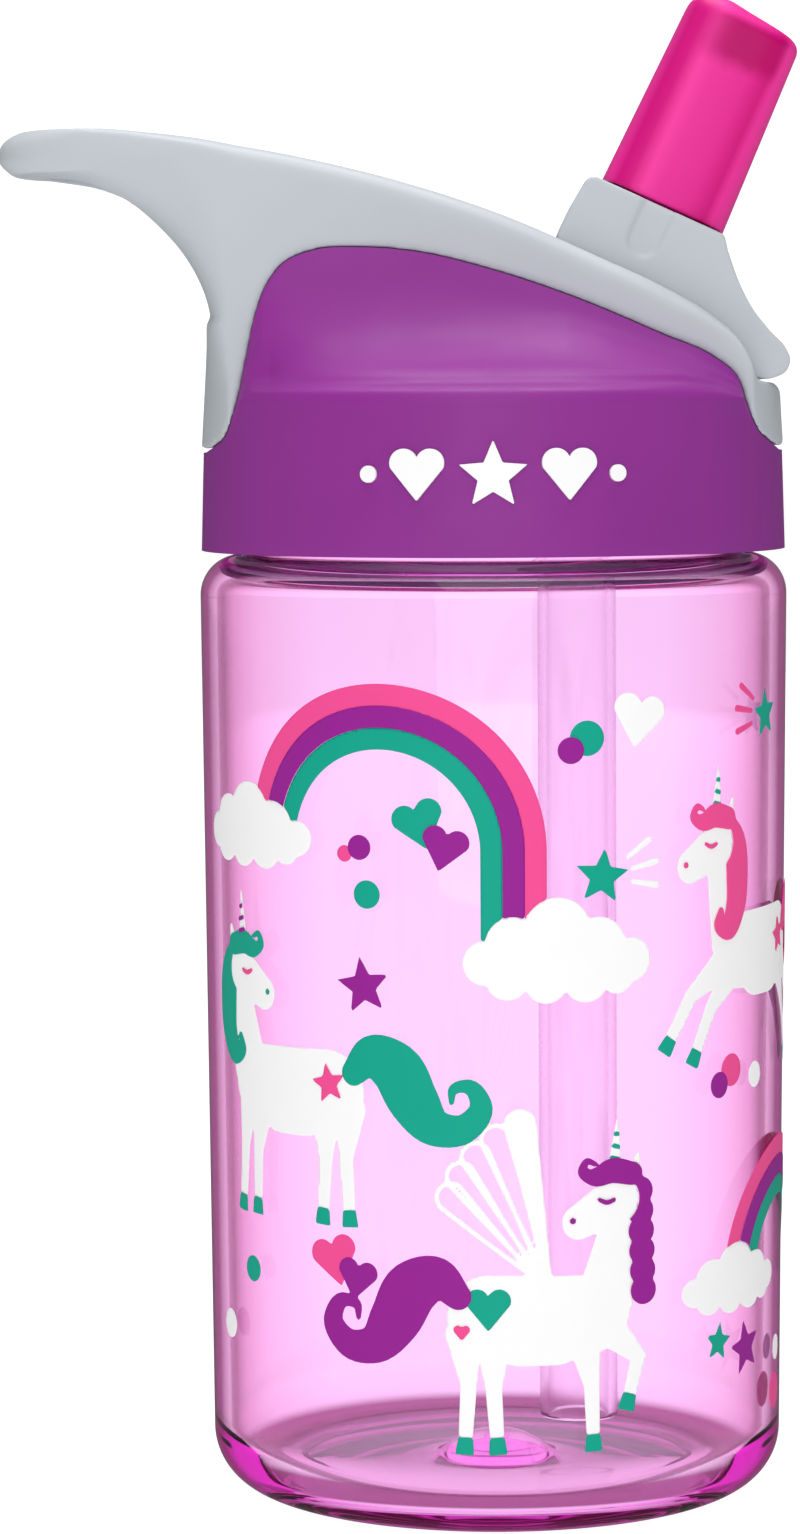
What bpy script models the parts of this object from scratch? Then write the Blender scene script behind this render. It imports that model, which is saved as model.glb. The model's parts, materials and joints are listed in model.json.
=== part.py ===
"""Kids water bottle: a clear bottle with a screw cap, a flip-up spout, a drinking straw and a carry handle.

Lengths are in millimetres and MM turns them into metres. The origin is the centre of the base on the
bottle's axis. +Z is up, +X is the side that the spout leans to, -X is the handle, and y = 0 is the
plane of symmetry.
"""

import math

import bmesh
import bpy
from mathutils import Matrix, Vector

MM = 0.001
GAP = 0.3  # clearance between pieces that rest on each other
TURN_STEPS = 56  # facets round the large turned pieces
SMALL_STEPS = 24  # facets round tubes, pins and bores

# Bottle
BASE_RADIUS = 28.0
PANEL_HEIGHT = 0.5  # the flat gate disc in the middle of the base
BODY_RADIUS_LOW = 35.6
BODY_RADIUS_HIGH = 36.5
BODY_WALL = 2.0
SHOULDER_Z = 117.2
NECK_RADIUS = 30.8
NECK_BORE = 28.6
RIM_Z = 132.4

# Threads: one right-hand ridge on the neck and one in the cap, half a pitch apart
THREAD_PITCH = 4.0
NECK_THREAD_Z = 123.4
CAP_THREAD_Z = NECK_THREAD_Z - THREAD_PITCH / 2
RIDGE_ROOT_HALF = 1.1
RIDGE_CREST_HALF = 0.45
RIDGE_RUN_OUT = 25.0  # degrees over which a ridge rises out of its wall

# Cap
CAP_BOTTOM_Z = 117.8
INNER_CAP_RADIUS = 34.0
INNER_CAP_BORE = 32.6
DECK_Z = 136.4
DECK_THICKNESS = 2.1
SLEEVE_WALL = 1.35
SLEEVE_WALL_TOP_Z = 136.4
SEAM_END_Z = 129.9
SADDLE_HALF = 17.0  # half the width of the saddle and the handle
SADDLE_INNER_HALF = 15.3  # half its width under the sleeve
SADDLE_BASE_Z = DECK_Z + GAP
SADDLE_FOOT_Z = 130.0
EDGE_FILLET = 2.2

# Spout: it turns about the pivot, and its own axis leans towards +X
PIVOT = Vector((13.2, 0.0, 142.0))
SPOUT_LEAN = math.radians(65.4)
SPOUT_AXIS = Vector((math.cos(SPOUT_LEAN), 0.0, math.sin(SPOUT_LEAN)))
SPOUT_ACROSS = Vector((math.sin(SPOUT_LEAN), 0.0, -math.cos(SPOUT_LEAN)))
HUB_RADIUS = 6.5
ARM_HALF = 10.9
CHANNEL_HALF = ARM_HALF + 0.5
TRUNNION_RADIUS = 3.0
TRUNNION_REACH = 14.2
COLLAR_TOP = 19.2  # along the spout's axis from the pivot
VALVE_TIP = 45.5
VALVE_CENTRE = -0.25  # across the spout's axis
PASSAGE_RADIUS = 2.7

# Drinking straw and its spigot
STRAW_X = 10.4
STRAW_RADIUS = 4.9
STRAW_BORE = 3.8
STRAW_BOTTOM_Z = 8.3
STRAW_TOP_Z = 128.3
SPIGOT_RADIUS = STRAW_BORE - GAP

VENT_X = -14.0

# The seam between the sleeve and the saddle, seen from the side: (x, z) from the back to the front
SEAM = (
    (-35.4, 129.9),
    (-32.7, 131.7),
    (-31.2, 135.4),
    (-29.8, 141.5),
    (-28.5, 147.1),
    (-27.3, 150.2),
    (-25.0, 153.0),
    (-21.5, 154.4),
    (-15.5, 154.7),
    (-9.0, 154.1),
    (0.0, 151.9),
    (10.0, 148.5),
    (20.6, 144.0),
    (26.7, 141.3),
    (29.5, 139.0),
    (30.8, 135.4),
    (32.0, 132.6),
    (35.3, 129.9),
)

# The saddle seen from the side: round the handle's tip and along the top to the front
SADDLE_TOP = (
    (-59.3, 164.1),
    (-60.9, 165.9),
    (-60.5, 167.8),
    (-58.6, 169.1),
    (-55.0, 169.3),
    (-47.4, 168.9),
    (-35.3, 167.8),
    (-23.2, 165.7),
    (-11.1, 162.7),
    (1.0, 158.7),
    (13.5, 153.2),
    (20.6, 149.9),
    (26.8, 146.2),
    (30.0, 143.3),
    (31.4, 140.6),
    (32.0, 138.6),
)
# down the front tongue and the rear wall
SADDLE_FRONT = ((33.2, 138.3), (34.9, 138.1), (35.6, 137.2), (36.1, SADDLE_FOOT_Z))
SADDLE_REAR = ((-36.2, SADDLE_FOOT_Z), (-35.7, 138.3), (-35.2, 145.7), (-34.6, 146.4))
# and along the underside of the handle, back to the tip
SADDLE_UNDER = (
    (-35.2, 148.8),
    (-37.1, 152.9),
    (-42.7, 159.1),
    (-50.3, 162.9),
    (-56.5, 164.0),
)

CHANNEL_FLOOR = (
    (-33.0, 175.0),
    (-33.0, 152.0),
    (-9.5, 139.6),
    (-3.0, 136.0),
    (30.3, 136.0),
    (31.3, 138.3),
    (45.0, 138.3),
    (45.0, 175.0),
)

# The spout arm seen from the side, from the hub's lower right round to the collar
ARM_FRONT = (
    (24.0, 137.6),
    (30.5, 138.75),
    (34.5, 138.75),
    (35.9, 139.5),
    (36.4, 141.0),
    (35.9, 142.3),
    (34.0, 144.4),
    (31.8, 147.2),
    (30.2, 150.3),
    (28.8, 154.2),
)
ARM_REAR = ((9.4, 159.4), (8.0, 156.2), (8.3, 150.5))


def arc(centre, radius, first, last, spans):
    """Points (x, z) on an arc, with its angles in degrees."""
    points = []
    for i in range(spans + 1):
        angle = math.radians(first + (last - first) * i / spans)
        points.append((centre[0] + radius * math.cos(angle), centre[1] + radius * math.sin(angle)))
    return points


def smooth(points, spans):
    """A smooth curve through the points, with the given number of steps to each span."""
    knots = [Vector(p) for p in points]
    lengths = [(b - a).length for a, b in zip(knots, knots[1:])]
    slopes = [(b - a) / d for a, b, d in zip(knots, knots[1:], lengths)]
    tangents = [slopes[0]]
    for i in range(1, len(slopes)):
        before, after = lengths[i - 1], lengths[i]
        tangents.append((slopes[i - 1] * after + slopes[i] * before) / (before + after))
    tangents.append(slopes[-1])
    curve = []
    for i, d in enumerate(lengths):
        for k in range(spans):
            t = k / spans
            curve.append(
                knots[i] * (2 * t**3 - 3 * t**2 + 1)
                + tangents[i] * d * (t**3 - 2 * t**2 + t)
                + knots[i + 1] * (3 * t**2 - 2 * t**3)
                + tangents[i + 1] * d * (t**3 - t**2)
            )
    curve.append(knots[-1])
    return [tuple(p) for p in curve]


def spout_point(along, across, y=0.0):
    """A point given along and across the spout's own axis."""
    return PIVOT + SPOUT_AXIS * along + SPOUT_ACROSS * across + Vector((0.0, y, 0.0))


# ---------------------------------------------------------------- making objects


def clear_scene():
    for obj in list(bpy.data.objects):
        bpy.data.objects.remove(obj)


def new_collection(name):
    made = bpy.data.collections.new(name)
    bpy.context.scene.collection.children.link(made)
    return made


def plastic(name, colour, roughness, transmission=0.0):
    made = bpy.data.materials.new(name)
    made.use_nodes = True
    shader = made.node_tree.nodes["Principled BSDF"]
    shader.inputs["Base Color"].default_value = (*colour, 1.0)
    shader.inputs["Roughness"].default_value = roughness
    shader.inputs["Metallic"].default_value = 0.0
    shader.inputs["Transmission Weight"].default_value = transmission
    return made


def add_object(name, bm, finish=None):
    """The mesh as a piece in the bottle's collection, or as a hidden cutter where it has no finish."""
    mesh = bpy.data.meshes.new(name)
    bm.to_mesh(mesh)
    bm.free()
    obj = bpy.data.objects.new(name, mesh)
    if finish:
        mesh.materials.append(finish)
        PIECES.objects.link(obj)
    else:
        obj.hide_render = True
        obj.display_type = "WIRE"
        CUTTERS.objects.link(obj)
    return obj


def turned(name, profile, finish=None, steps=TURN_STEPS, ring=False, at_x=0.0):
    """A profile of (radius, z), run down its outer side, turned round a vertical axis at at_x."""
    bm = bmesh.new()
    points = [bm.verts.new((r * MM, 0.0, z * MM)) for r, z in profile]
    for a, b in zip(points, points[1:]):
        bm.edges.new((a, b))
    if ring:
        bm.edges.new((points[-1], points[0]))
    obj = add_object(name, bm, finish)
    obj.location.x = at_x * MM
    screw = obj.modifiers.new("turn", "SCREW")
    screw.steps = screw.render_steps = steps
    screw.use_merge_vertices = True
    screw.merge_threshold = 1e-5
    return obj


def lofted(name, rings, finish=None):
    """A closed solid through rings with the same number of points, with a flat cap at each end."""
    bm = bmesh.new()
    loops = [[bm.verts.new(Vector(p) * MM) for p in ring] for ring in rings]
    for low, high in zip(loops, loops[1:]):
        for i in range(len(low)):
            j = (i + 1) % len(low)
            bm.faces.new((low[i], low[j], high[j], high[i]))
    bm.faces.new(loops[0][::-1])
    bm.faces.new(loops[-1])
    bm.normal_update()
    bmesh.ops.triangulate(bm, faces=bm.faces)
    bmesh.ops.recalc_face_normals(bm, faces=bm.faces)
    return add_object(name, bm, finish)


def prism(name, outline, y_low, y_high, finish=None):
    """An outline of (x, z) points stretched from y_low to y_high."""
    return lofted(name, [[(x, y, z) for x, z in outline] for y in (y_low, y_high)], finish)


def box(name, low, high):
    bm = bmesh.new()
    bmesh.ops.create_cube(bm, size=1.0)
    size = [(b - a) * MM for a, b in zip(low, high)]
    centre = [(a + b) / 2 * MM for a, b in zip(low, high)]
    bmesh.ops.scale(bm, vec=size, verts=bm.verts)
    bmesh.ops.translate(bm, vec=centre, verts=bm.verts)
    return add_object(name, bm)


def rod(name, start, end, radius, steps=SMALL_STEPS):
    """A cylinder from one point to another."""
    start, end = Vector(start), Vector(end)
    bm = bmesh.new()
    bmesh.ops.create_cone(
        bm,
        cap_ends=True,
        segments=steps,
        radius1=radius * MM,
        radius2=radius * MM,
        depth=(end - start).length * MM,
    )
    turn = (end - start).to_track_quat("Z", "Y").to_matrix().to_4x4()
    bmesh.ops.transform(bm, matrix=Matrix.Translation((start + end) / 2 * MM) @ turn, verts=bm.verts)
    return add_object(name, bm)


def combine(target, operation, others):
    for other in others:
        boolean = target.modifiers.new(other.name, "BOOLEAN")
        boolean.operation = operation
        boolean.solver = "EXACT"
        boolean.object = other


def cut(target, *cutters):
    combine(target, "DIFFERENCE", cutters)


def join(target, *others):
    combine(target, "UNION", others)


def thread_ridge(name, root, crest, z_start, first, steps=36):
    """One turn of a right-hand ridge from the root radius to the crest radius; its ends run out flat."""
    rings = []
    for i in range(steps + 1):
        turn = 360.0 * i / steps
        rise = min(1.0, 0.12 + min(turn, 360.0 - turn) / RIDGE_RUN_OUT)
        angle = math.radians(first + turn)
        z = z_start + THREAD_PITCH * (first + turn) / 360.0
        top = root + (crest - root) * rise
        half = RIDGE_ROOT_HALF + (RIDGE_CREST_HALF - RIDGE_ROOT_HALF) * rise
        section = (
            (root, z - RIDGE_ROOT_HALF),
            (top, z - half),
            (top, z + half),
            (root, z + RIDGE_ROOT_HALF),
        )
        rings.append([(r * math.cos(angle), r * math.sin(angle), height) for r, height in section])
    return lofted(name, rings)


# ---------------------------------------------------------------- bottle


def bottle_body(finish):
    """The blown bottle: an inner floor with a low dome, the wall, the rim, and the outside down to the base."""
    inner_low = BODY_RADIUS_LOW - BODY_WALL
    inner_high = BODY_RADIUS_HIGH - BODY_WALL
    inside = [(0.0, 6.4)]
    inside += [(3.0, 6.1), (5.6, 5.0), (7.7, 3.4)]
    inside += arc((inner_low - 6.0, 9.4), 6.0, -90, 0, 4)
    inside += arc((inner_high - 3.0, 112.0), 3.0, 0, 90, 3)
    inside += [(29.6, 115.4), (NECK_BORE, 116.6), (NECK_BORE, RIM_Z - 0.5)]
    rim = [(NECK_BORE + 0.5, RIM_Z), (NECK_RADIUS - 0.5, RIM_Z), (NECK_RADIUS, RIM_Z - 0.5)]
    outside = [(NECK_RADIUS, SHOULDER_Z + 0.7)]
    outside += arc((BODY_RADIUS_HIGH - 5.0, SHOULDER_Z - 5.0), 5.0, 90, 0, 5)
    outside += arc((BASE_RADIUS, 7.6), 7.6, 0, -90, 7)
    base = [(25.0, 0.0), (24.2, 1.0), (5.8, 1.0), (5.4, PANEL_HEIGHT), (0.0, PANEL_HEIGHT)]
    bottle = turned("bottle_body", inside + rim + outside + base, finish)
    join(bottle, thread_ridge("neck_thread", NECK_RADIUS - 0.3, 32.1, NECK_THREAD_Z, 0.0))
    return bottle


# ---------------------------------------------------------------- cap


def inner_cap(finish):
    """The threaded part of the cap: skirt, deck, the seat of the spout's seal, the spigot and the vent."""
    cap = turned(
        "inner_cap",
        [
            (0.0, DECK_Z),
            (INNER_CAP_RADIUS - 1.8, DECK_Z),
            (INNER_CAP_RADIUS, DECK_Z - 1.8),
            (INNER_CAP_RADIUS, CAP_BOTTOM_Z + 0.4),
            (INNER_CAP_BORE, CAP_BOTTOM_Z + 0.4),
            (INNER_CAP_BORE, DECK_Z - DECK_THICKNESS),
            (0.0, DECK_Z - DECK_THICKNESS),
        ],
        finish,
    )
    join(
        cap,
        thread_ridge("cap_thread", INNER_CAP_BORE + 0.3, 31.3, CAP_THREAD_Z, -135.0),
        box("seat_block", (3.6, -8.6, 128.6), (21.6, 8.6, DECK_Z - 1.0)),
        rod("spigot", (STRAW_X, 0, 116.5), (STRAW_X, 0, 129.5), SPIGOT_RADIUS),
    )
    pocket = 6.2
    cut(
        cap,
        rod("hub_trough", (PIVOT.x, -11.3, PIVOT.z), (PIVOT.x, 11.3, PIVOT.z), HUB_RADIUS + 0.4, 48),
        box("seal_pocket", (PIVOT.x - pocket, -pocket, 131.6), (PIVOT.x + pocket, pocket, 140.0)),
        rod("spigot_bore", (STRAW_X, 0, 115.0), (STRAW_X, 0, 133.0), PASSAGE_RADIUS - 0.3),
        rod("vent_hole", (VENT_X, 0, 132.0), (VENT_X, 0, 138.0), 1.5, 16),
    )
    for side in (-2.6, 2.6):
        cut(cap, rod("vent_port", (VENT_X + side, 0, 132.0), (VENT_X + side, 0, 138.0), 0.6, 8))
    return cap


def neck_gasket(finish):
    """The sealing ring between the bottle's rim and the cap's deck."""
    inner, outer = NECK_BORE + 0.3, INNER_CAP_BORE - GAP
    low, high = RIM_Z + GAP, DECK_Z - DECK_THICKNESS - GAP
    profile = [(outer - 0.3, high), (outer, high - 0.3), (outer, low + 0.3), (outer - 0.3, low)]
    profile += [(inner + 0.3, low), (inner, low + 0.3), (inner, high - 0.3), (inner + 0.3, high)]
    return turned("neck_gasket", profile, finish, ring=True)


def port_seal(finish):
    """The soft block that the hub turns on, hollowed to the hub and bored over the straw."""
    half = 5.9
    seal = lofted(
        "port_seal",
        [
            [(PIVOT.x + sx * half, sy * half, z) for sx, sy in ((-1, -1), (1, -1), (1, 1), (-1, 1))]
            for z in (131.6 + GAP, DECK_Z + 0.3)
        ],
        finish,
    )
    cut(
        seal,
        rod("hub_seat", (PIVOT.x, -9, PIVOT.z), (PIVOT.x, 9, PIVOT.z), HUB_RADIUS + GAP, 48),
        rod("seal_bore", (STRAW_X, 0, 130.0), (STRAW_X, 0, 140.0), PASSAGE_RADIUS - 0.3),
    )
    return seal


def vent_valve(finish):
    """A mushroom valve: a thin disc under the deck, held by a stem and a bulb above it."""
    under = DECK_Z - DECK_THICKNESS - GAP
    return turned(
        "vent_valve",
        [
            (0.0, DECK_Z + 1.8),
            (1.1, DECK_Z + 1.6),
            (1.9, DECK_Z + 0.9),
            (1.9, DECK_Z + GAP),
            (1.2, DECK_Z + GAP),
            (1.2, under),
            (4.2, under - 0.1),
            (4.2, under - 0.6),
            (0.0, under - 0.8),
        ],
        finish,
        steps=SMALL_STEPS,
        at_x=VENT_X,
    )


def straw(finish):
    """The drinking straw, pushed over the spigot and reaching almost to the floor."""
    profile = [
        (STRAW_RADIUS, STRAW_TOP_Z),
        (STRAW_RADIUS, STRAW_BOTTOM_Z),
        (STRAW_BORE, STRAW_BOTTOM_Z),
        (STRAW_BORE, STRAW_TOP_Z),
    ]
    return turned("straw", profile, finish, steps=SMALL_STEPS, ring=True, at_x=STRAW_X)


def sleeve_radius(z):
    return 36.3 - 0.028 * (z - CAP_BOTTOM_Z)


def sleeve_column(x, z_seam):
    """Points of the sleeve at one x, up its wall, over the shoulder and up the side dome to the seam."""
    z_wall = min(SLEEVE_WALL_TOP_Z, z_seam - 1.0)
    y_wall = math.sqrt(max(sleeve_radius(z_wall) ** 2 - x * x, 0.0))
    inward = max(y_wall - SADDLE_HALF, 0.0)
    rise = z_seam - z_wall
    middle = (min(7.8, 0.62 * rise), max(inward - 4.5, 0.72 * inward))
    shoulder = ((0.9, 0.35), (1.45, 1.2), (2.0, 2.6), (2.8, 3.5))
    steps = [
        (min(up, rise * 0.1 * (i + 1)), min(over, inward * 0.13 * (i + 1)))
        for i, (up, over) in enumerate(shoulder)
    ]
    crease = steps[-1]
    steps.append(tuple(a + (b - a) * f for a, b, f in zip(crease, middle, (0.40, 0.50))))
    steps.append(middle)
    top = (rise, inward)
    steps.append(tuple(a + (b - a) * f for a, b, f in zip(middle, top, (0.45, 0.65))))
    steps.append(top)
    column = []
    for fraction in (0.0, 0.33, 0.67, 1.0):
        z = CAP_BOTTOM_Z + (z_wall - CAP_BOTTOM_Z) * fraction
        column.append((x, math.sqrt(max(sleeve_radius(z) ** 2 - x * x, 0.0)), z))
    for up, over in steps:
        z = z_wall + up
        on_ring = math.sqrt(max(sleeve_radius(z) ** 2 - x * x, 0.0))
        column.append((x, on_ring if inward == 0.0 else y_wall - over, z))
    return column


def cap_sleeve(finish):
    """The coloured shell round the cap: a ring whose sides rise as domes to the seam with the saddle."""
    ends = 4  # columns in the plain ring on each side of y = 0
    seam = smooth(SEAM, 2)
    rear = math.atan2(math.sqrt(sleeve_radius(SEAM_END_Z) ** 2 - seam[0][0] ** 2), seam[0][0])
    front = math.atan2(math.sqrt(sleeve_radius(SEAM_END_Z) ** 2 - seam[-1][0] ** 2), seam[-1][0])
    columns = []
    for i in range(ends):
        angle = math.pi + (rear - math.pi) * i / ends
        columns.append(ring_column(angle))
    columns += [sleeve_column(x, z) for x, z in seam]
    for i in range(1, ends + 1):
        columns.append(ring_column(front * (1 - i / ends)))
    bm = bmesh.new()
    grid = [[bm.verts.new(Vector(p) * MM) for p in column] for column in columns]
    for a, b in zip(grid, grid[1:]):
        for i in range(len(a) - 1):
            bm.faces.new((a[i], a[i + 1], b[i + 1], b[i]))
    sleeve = add_object("cap_sleeve", bm, finish)
    mirror = sleeve.modifiers.new("other side", "MIRROR")
    mirror.use_axis = (False, True, False)
    mirror.merge_threshold = 1e-5
    shell = sleeve.modifiers.new("wall", "SOLIDIFY")
    shell.thickness = SLEEVE_WALL * MM
    shell.offset = -1.0
    shell.use_even_offset = True
    return sleeve


def ring_column(angle):
    """A column of the plain ring under the rear wall or the front tongue, at an angle round the axis."""
    rows = len(sleeve_column(0.0, 150.0))
    column = []
    for i in range(rows):
        z = CAP_BOTTOM_Z + (SEAM_END_Z - CAP_BOTTOM_Z) * i / (rows - 1)
        r = sleeve_radius(z)
        y = 0.0 if math.sin(angle) < 1e-6 else r * math.sin(angle)
        column.append((r * math.cos(angle), y, z))
    return column


def saddle_x(x, z, y):
    """Where a point of the saddle's side outline lies at this y: the front follows the cap's ring, the
    rear wall too, and the handle closes in a rounded end."""
    if x > 0.0:
        return min(x, math.sqrt(max(x, 35.75) ** 2 - y * y))
    root = -31.0
    if x > root:
        return x
    narrowing = (1.0 - (0.994 * abs(y) / SADDLE_HALF) ** 3.2) ** (1 / 3.2)
    handle = root + (x - root) * narrowing
    wall = -math.sqrt(x * x - y * y)
    share = min(max((z - 135.5) / 10.0, 0.0), 1.0)
    return wall + (handle - wall) * share


def saddle_outline():
    """The saddle's side outline, clockwise, as (x, z, lift): lift is the share of the edge fillet that
    raises a point (or, below 0, lowers it) where the outline narrows towards the saddle's sides."""
    tip_z = (SADDLE_TOP[0][1] + SADDLE_TOP[4][1]) / 2
    outline = []
    for x, z in smooth(SADDLE_TOP, 3):
        above_tip = min(max((z - tip_z) / 2.6, -1.0), 1.0) if x < -56.0 else 1.0
        outline.append((x, z, -above_tip * min(max((32.0 - x) / 10.0, 0.0), 1.0)))
    outline += [(x, z, 0.0) for x, z in SADDLE_FRONT + SADDLE_REAR]
    wall_top = SADDLE_REAR[-1]
    for x, z in smooth((wall_top,) + SADDLE_UNDER, 2)[1:]:
        outline.append((x, z, min((z - wall_top[1]) / 8.0, 1.0)))
    return outline


def saddle_ring(outline, y, inset):
    """The outline at one y, with its edges drawn in for the fillet."""
    ring = []
    for x, z, lift in outline:
        ring.append((saddle_x(x, z, y), y, z + inset * lift))
    return ring


def handle_saddle(finish):
    """The grey top of the cap and the carry handle in one piece, with the channel that the spout folds into."""
    outline = saddle_outline()
    stations = [(0.0, 0.0), (7.0, 0.0), (11.0, 0.0), (SADDLE_HALF - EDGE_FILLET, 0.0)]
    for angle in (35, 58, 76, 90):
        turn = math.radians(angle)
        y = SADDLE_HALF - EDGE_FILLET * (1 - math.sin(turn))
        stations.append((y, EDGE_FILLET * (1 - math.cos(turn))))
    rings = [saddle_ring(outline, -y, inset) for y, inset in stations[:0:-1]]
    rings += [saddle_ring(outline, y, inset) for y, inset in stations]
    saddle = lofted("handle_saddle", rings, finish)

    grown = [(x, z + 0.25) for x, z in smooth(SEAM, 2)]
    grown[0] = (-37.5, SADDLE_FOOT_Z + 0.05)
    grown[-1] = (37.5, SADDLE_FOOT_Z + 0.05)
    room = [(-37.5, 100.0)] + grown + [(37.5, 100.0)]
    low_room = [p for p in room if p[1] < SLEEVE_WALL_TOP_Z]
    cut(
        saddle,
        prism("sleeve_room_left", room, SADDLE_INNER_HALF, 40.0),
        prism("sleeve_room_right", room, -40.0, -SADDLE_INNER_HALF),
        prism("sleeve_room_low", low_room, -40.0, 40.0),
        rod("inner_cap_room", (0, 0, 100.0), (0, 0, SADDLE_BASE_Z), INNER_CAP_RADIUS + 0.45, TURN_STEPS),
        prism("spout_channel", CHANNEL_FLOOR, -CHANNEL_HALF, CHANNEL_HALF),
        prism(
            "underside_hollow",
            ((-30.5, 130.0), (-30.5, 148.3), (-10.0, 137.9), (-10.0, 130.0)),
            -13.2,
            13.2,
        ),
        finger_hole(),
        rod("bearing_holes", (PIVOT.x, -14.6, PIVOT.z), (PIVOT.x, 14.6, PIVOT.z), TRUNNION_RADIUS + 0.2),
    )
    return saddle


def finger_hole():
    """An upright oval hole through the handle."""
    centre_x, half_x, half_y = -47.0, 7.6, 9.2
    rings = []
    for z in (140.0, 180.0):
        ring = []
        for i in range(32):
            turn = 2 * math.pi * i / 32
            ring.append((centre_x + half_x * math.cos(turn), half_y * math.sin(turn), z))
        rings.append(ring)
    return lofted("finger_hole", rings)


# ---------------------------------------------------------------- spout


def rounded_section(along, half_across, half_y, steps=24, squareness=4.0):
    """A rounded rectangle square to the spout's axis."""
    ring = []
    for i in range(steps):
        turn = 2 * math.pi * (i + 0.5) / steps
        c, s = math.cos(turn), math.sin(turn)
        across = half_across * math.copysign(abs(c) ** (2 / squareness), c)
        y = half_y * math.copysign(abs(s) ** (2 / squareness), s)
        ring.append(spout_point(along, VALVE_CENTRE + across, y))
    return ring


def spout_arm(finish):
    """The swivel arm: hub and trunnions, finger tab at the front, collar, and the stem inside the valve."""
    front_corner = spout_point(COLLAR_TOP, 7.9)
    rear_round = spout_point(COLLAR_TOP - 1.3, -9.0)
    hub = arc((PIVOT.x, PIVOT.z), HUB_RADIUS, 140, 315, 12)
    outline = hub + smooth(ARM_FRONT, 2)
    outline += [(front_corner.x, front_corner.z)]
    outline += arc((rear_round.x, rear_round.z), 1.3, 65.4, 155.4, 4)
    outline += smooth(ARM_REAR, 2)
    arm = prism("spout_arm", outline, -ARM_HALF, ARM_HALF, finish)
    rounding = arm.modifiers.new("rounded sides", "BEVEL")
    rounding.width = 1.6 * MM
    rounding.segments = 3
    rounding.limit_method = "ANGLE"
    rounding.angle_limit = math.radians(70)
    rounding.use_clamp_overlap = True
    trunnions = rod(
        "trunnions",
        (PIVOT.x, -TRUNNION_REACH, PIVOT.z),
        (PIVOT.x, TRUNNION_REACH, PIVOT.z),
        TRUNNION_RADIUS,
    )
    stem = rod("stem", spout_point(14.0, VALVE_CENTRE), spout_point(32.0, VALVE_CENTRE), 4.5)
    socket = lofted(
        "valve_socket",
        [rounded_section(along, 6.6, 8.3) for along in (COLLAR_TOP - 3.2, COLLAR_TOP + 6.0)],
    )
    passage = rod("passage", spout_point(-9.0, 0.0), spout_point(36.0, 0.0), PASSAGE_RADIUS)
    join(arm, trunnions)
    cut(arm, socket, collar_pocket("pocket_left", 1), collar_pocket("pocket_right", -1))
    join(arm, stem)
    cut(arm, passage)
    return arm


def collar_pocket(name, side):
    """A shallow round-ended pocket in one side of the collar, open at its top."""
    low = spout_point(14.6, -0.8)
    high = [spout_point(COLLAR_TOP + 2.0, across) for across in (1.3, -2.9)]
    outline = arc((low.x, low.z), 2.1, 155.4, 335.4, 8) + [(point.x, point.z) for point in high]
    return prism(name, outline, *sorted((side * (ARM_HALF - 0.45), side * (ARM_HALF + 1.0))))


def bite_valve(finish):
    """The soft mouthpiece: a plug in the collar, a hollow body and a closed tip with a slit."""
    valve = lofted(
        "bite_valve",
        [
            rounded_section(along, half_across, half_y)
            for along, half_across, half_y in (
                (COLLAR_TOP - 2.7, 6.3, 8.0),
                (COLLAR_TOP + 0.25, 6.3, 8.0),
                (COLLAR_TOP + 0.3, 8.15, 9.5),
                (VALVE_TIP - 1.6, 7.45, 9.95),
                (VALVE_TIP - 0.5, 7.2, 9.6),
                (VALVE_TIP, 6.5, 8.8),
            )
        ],
        finish,
    )
    cut(
        valve,
        rod("stem_room", spout_point(12.0, VALVE_CENTRE), spout_point(24.0, VALVE_CENTRE), 4.8),
        lofted(
            "valve_hollow",
            [rounded_section(22.5, 5.9, 7.3), rounded_section(VALVE_TIP - 2.4, 5.2, 7.7)],
        ),
        lofted(
            "slit",
            [
                [
                    spout_point(along, VALVE_CENTRE + across, y)
                    for across, y in ((-0.2, -4.5), (0.2, -4.5), (0.2, 4.5), (-0.2, 4.5))
                ]
                for along in (VALVE_TIP - 5.0, VALVE_TIP + 2.0)
            ],
        ),
    )
    return valve


# ---------------------------------------------------------------- assembly


def build():
    clear_plastic = plastic("clear_pink", (0.95, 0.55, 0.90), 0.08, transmission=0.9)
    grey = plastic("grey_plastic", (0.55, 0.59, 0.62), 0.45)
    purple = plastic("purple_plastic", (0.28, 0.07, 0.28), 0.45)
    pink = plastic("pink_silicone", (0.85, 0.04, 0.33), 0.35)
    white = plastic("white_silicone", (0.85, 0.85, 0.85), 0.5)
    bottle_body(clear_plastic)
    inner_cap(grey)
    neck_gasket(white)
    port_seal(white)
    vent_valve(white)
    straw(clear_plastic)
    cap_sleeve(purple)
    handle_saddle(grey)
    spout_arm(grey)
    bite_valve(pink)


clear_scene()
PIECES = new_collection("kids_water_bottle")
CUTTERS = new_collection("cutters")
build()
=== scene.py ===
"""The looks of the kids water bottle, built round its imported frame.

Lengths are in millimetres and MM turns them into metres. The frame gives the places of the pieces; the
curves below give their fine surfaces.
"""

import json
import math

import bmesh
import bpy
import numpy as np
from mathutils import Matrix, Vector


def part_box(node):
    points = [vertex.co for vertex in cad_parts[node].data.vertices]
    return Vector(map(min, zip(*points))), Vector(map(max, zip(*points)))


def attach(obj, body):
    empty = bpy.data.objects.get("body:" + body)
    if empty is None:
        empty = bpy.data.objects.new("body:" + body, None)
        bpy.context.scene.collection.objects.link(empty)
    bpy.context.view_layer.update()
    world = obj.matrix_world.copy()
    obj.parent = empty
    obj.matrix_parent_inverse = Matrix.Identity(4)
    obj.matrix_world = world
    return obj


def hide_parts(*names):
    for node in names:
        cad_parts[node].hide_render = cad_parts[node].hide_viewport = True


MM = 0.001

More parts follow.
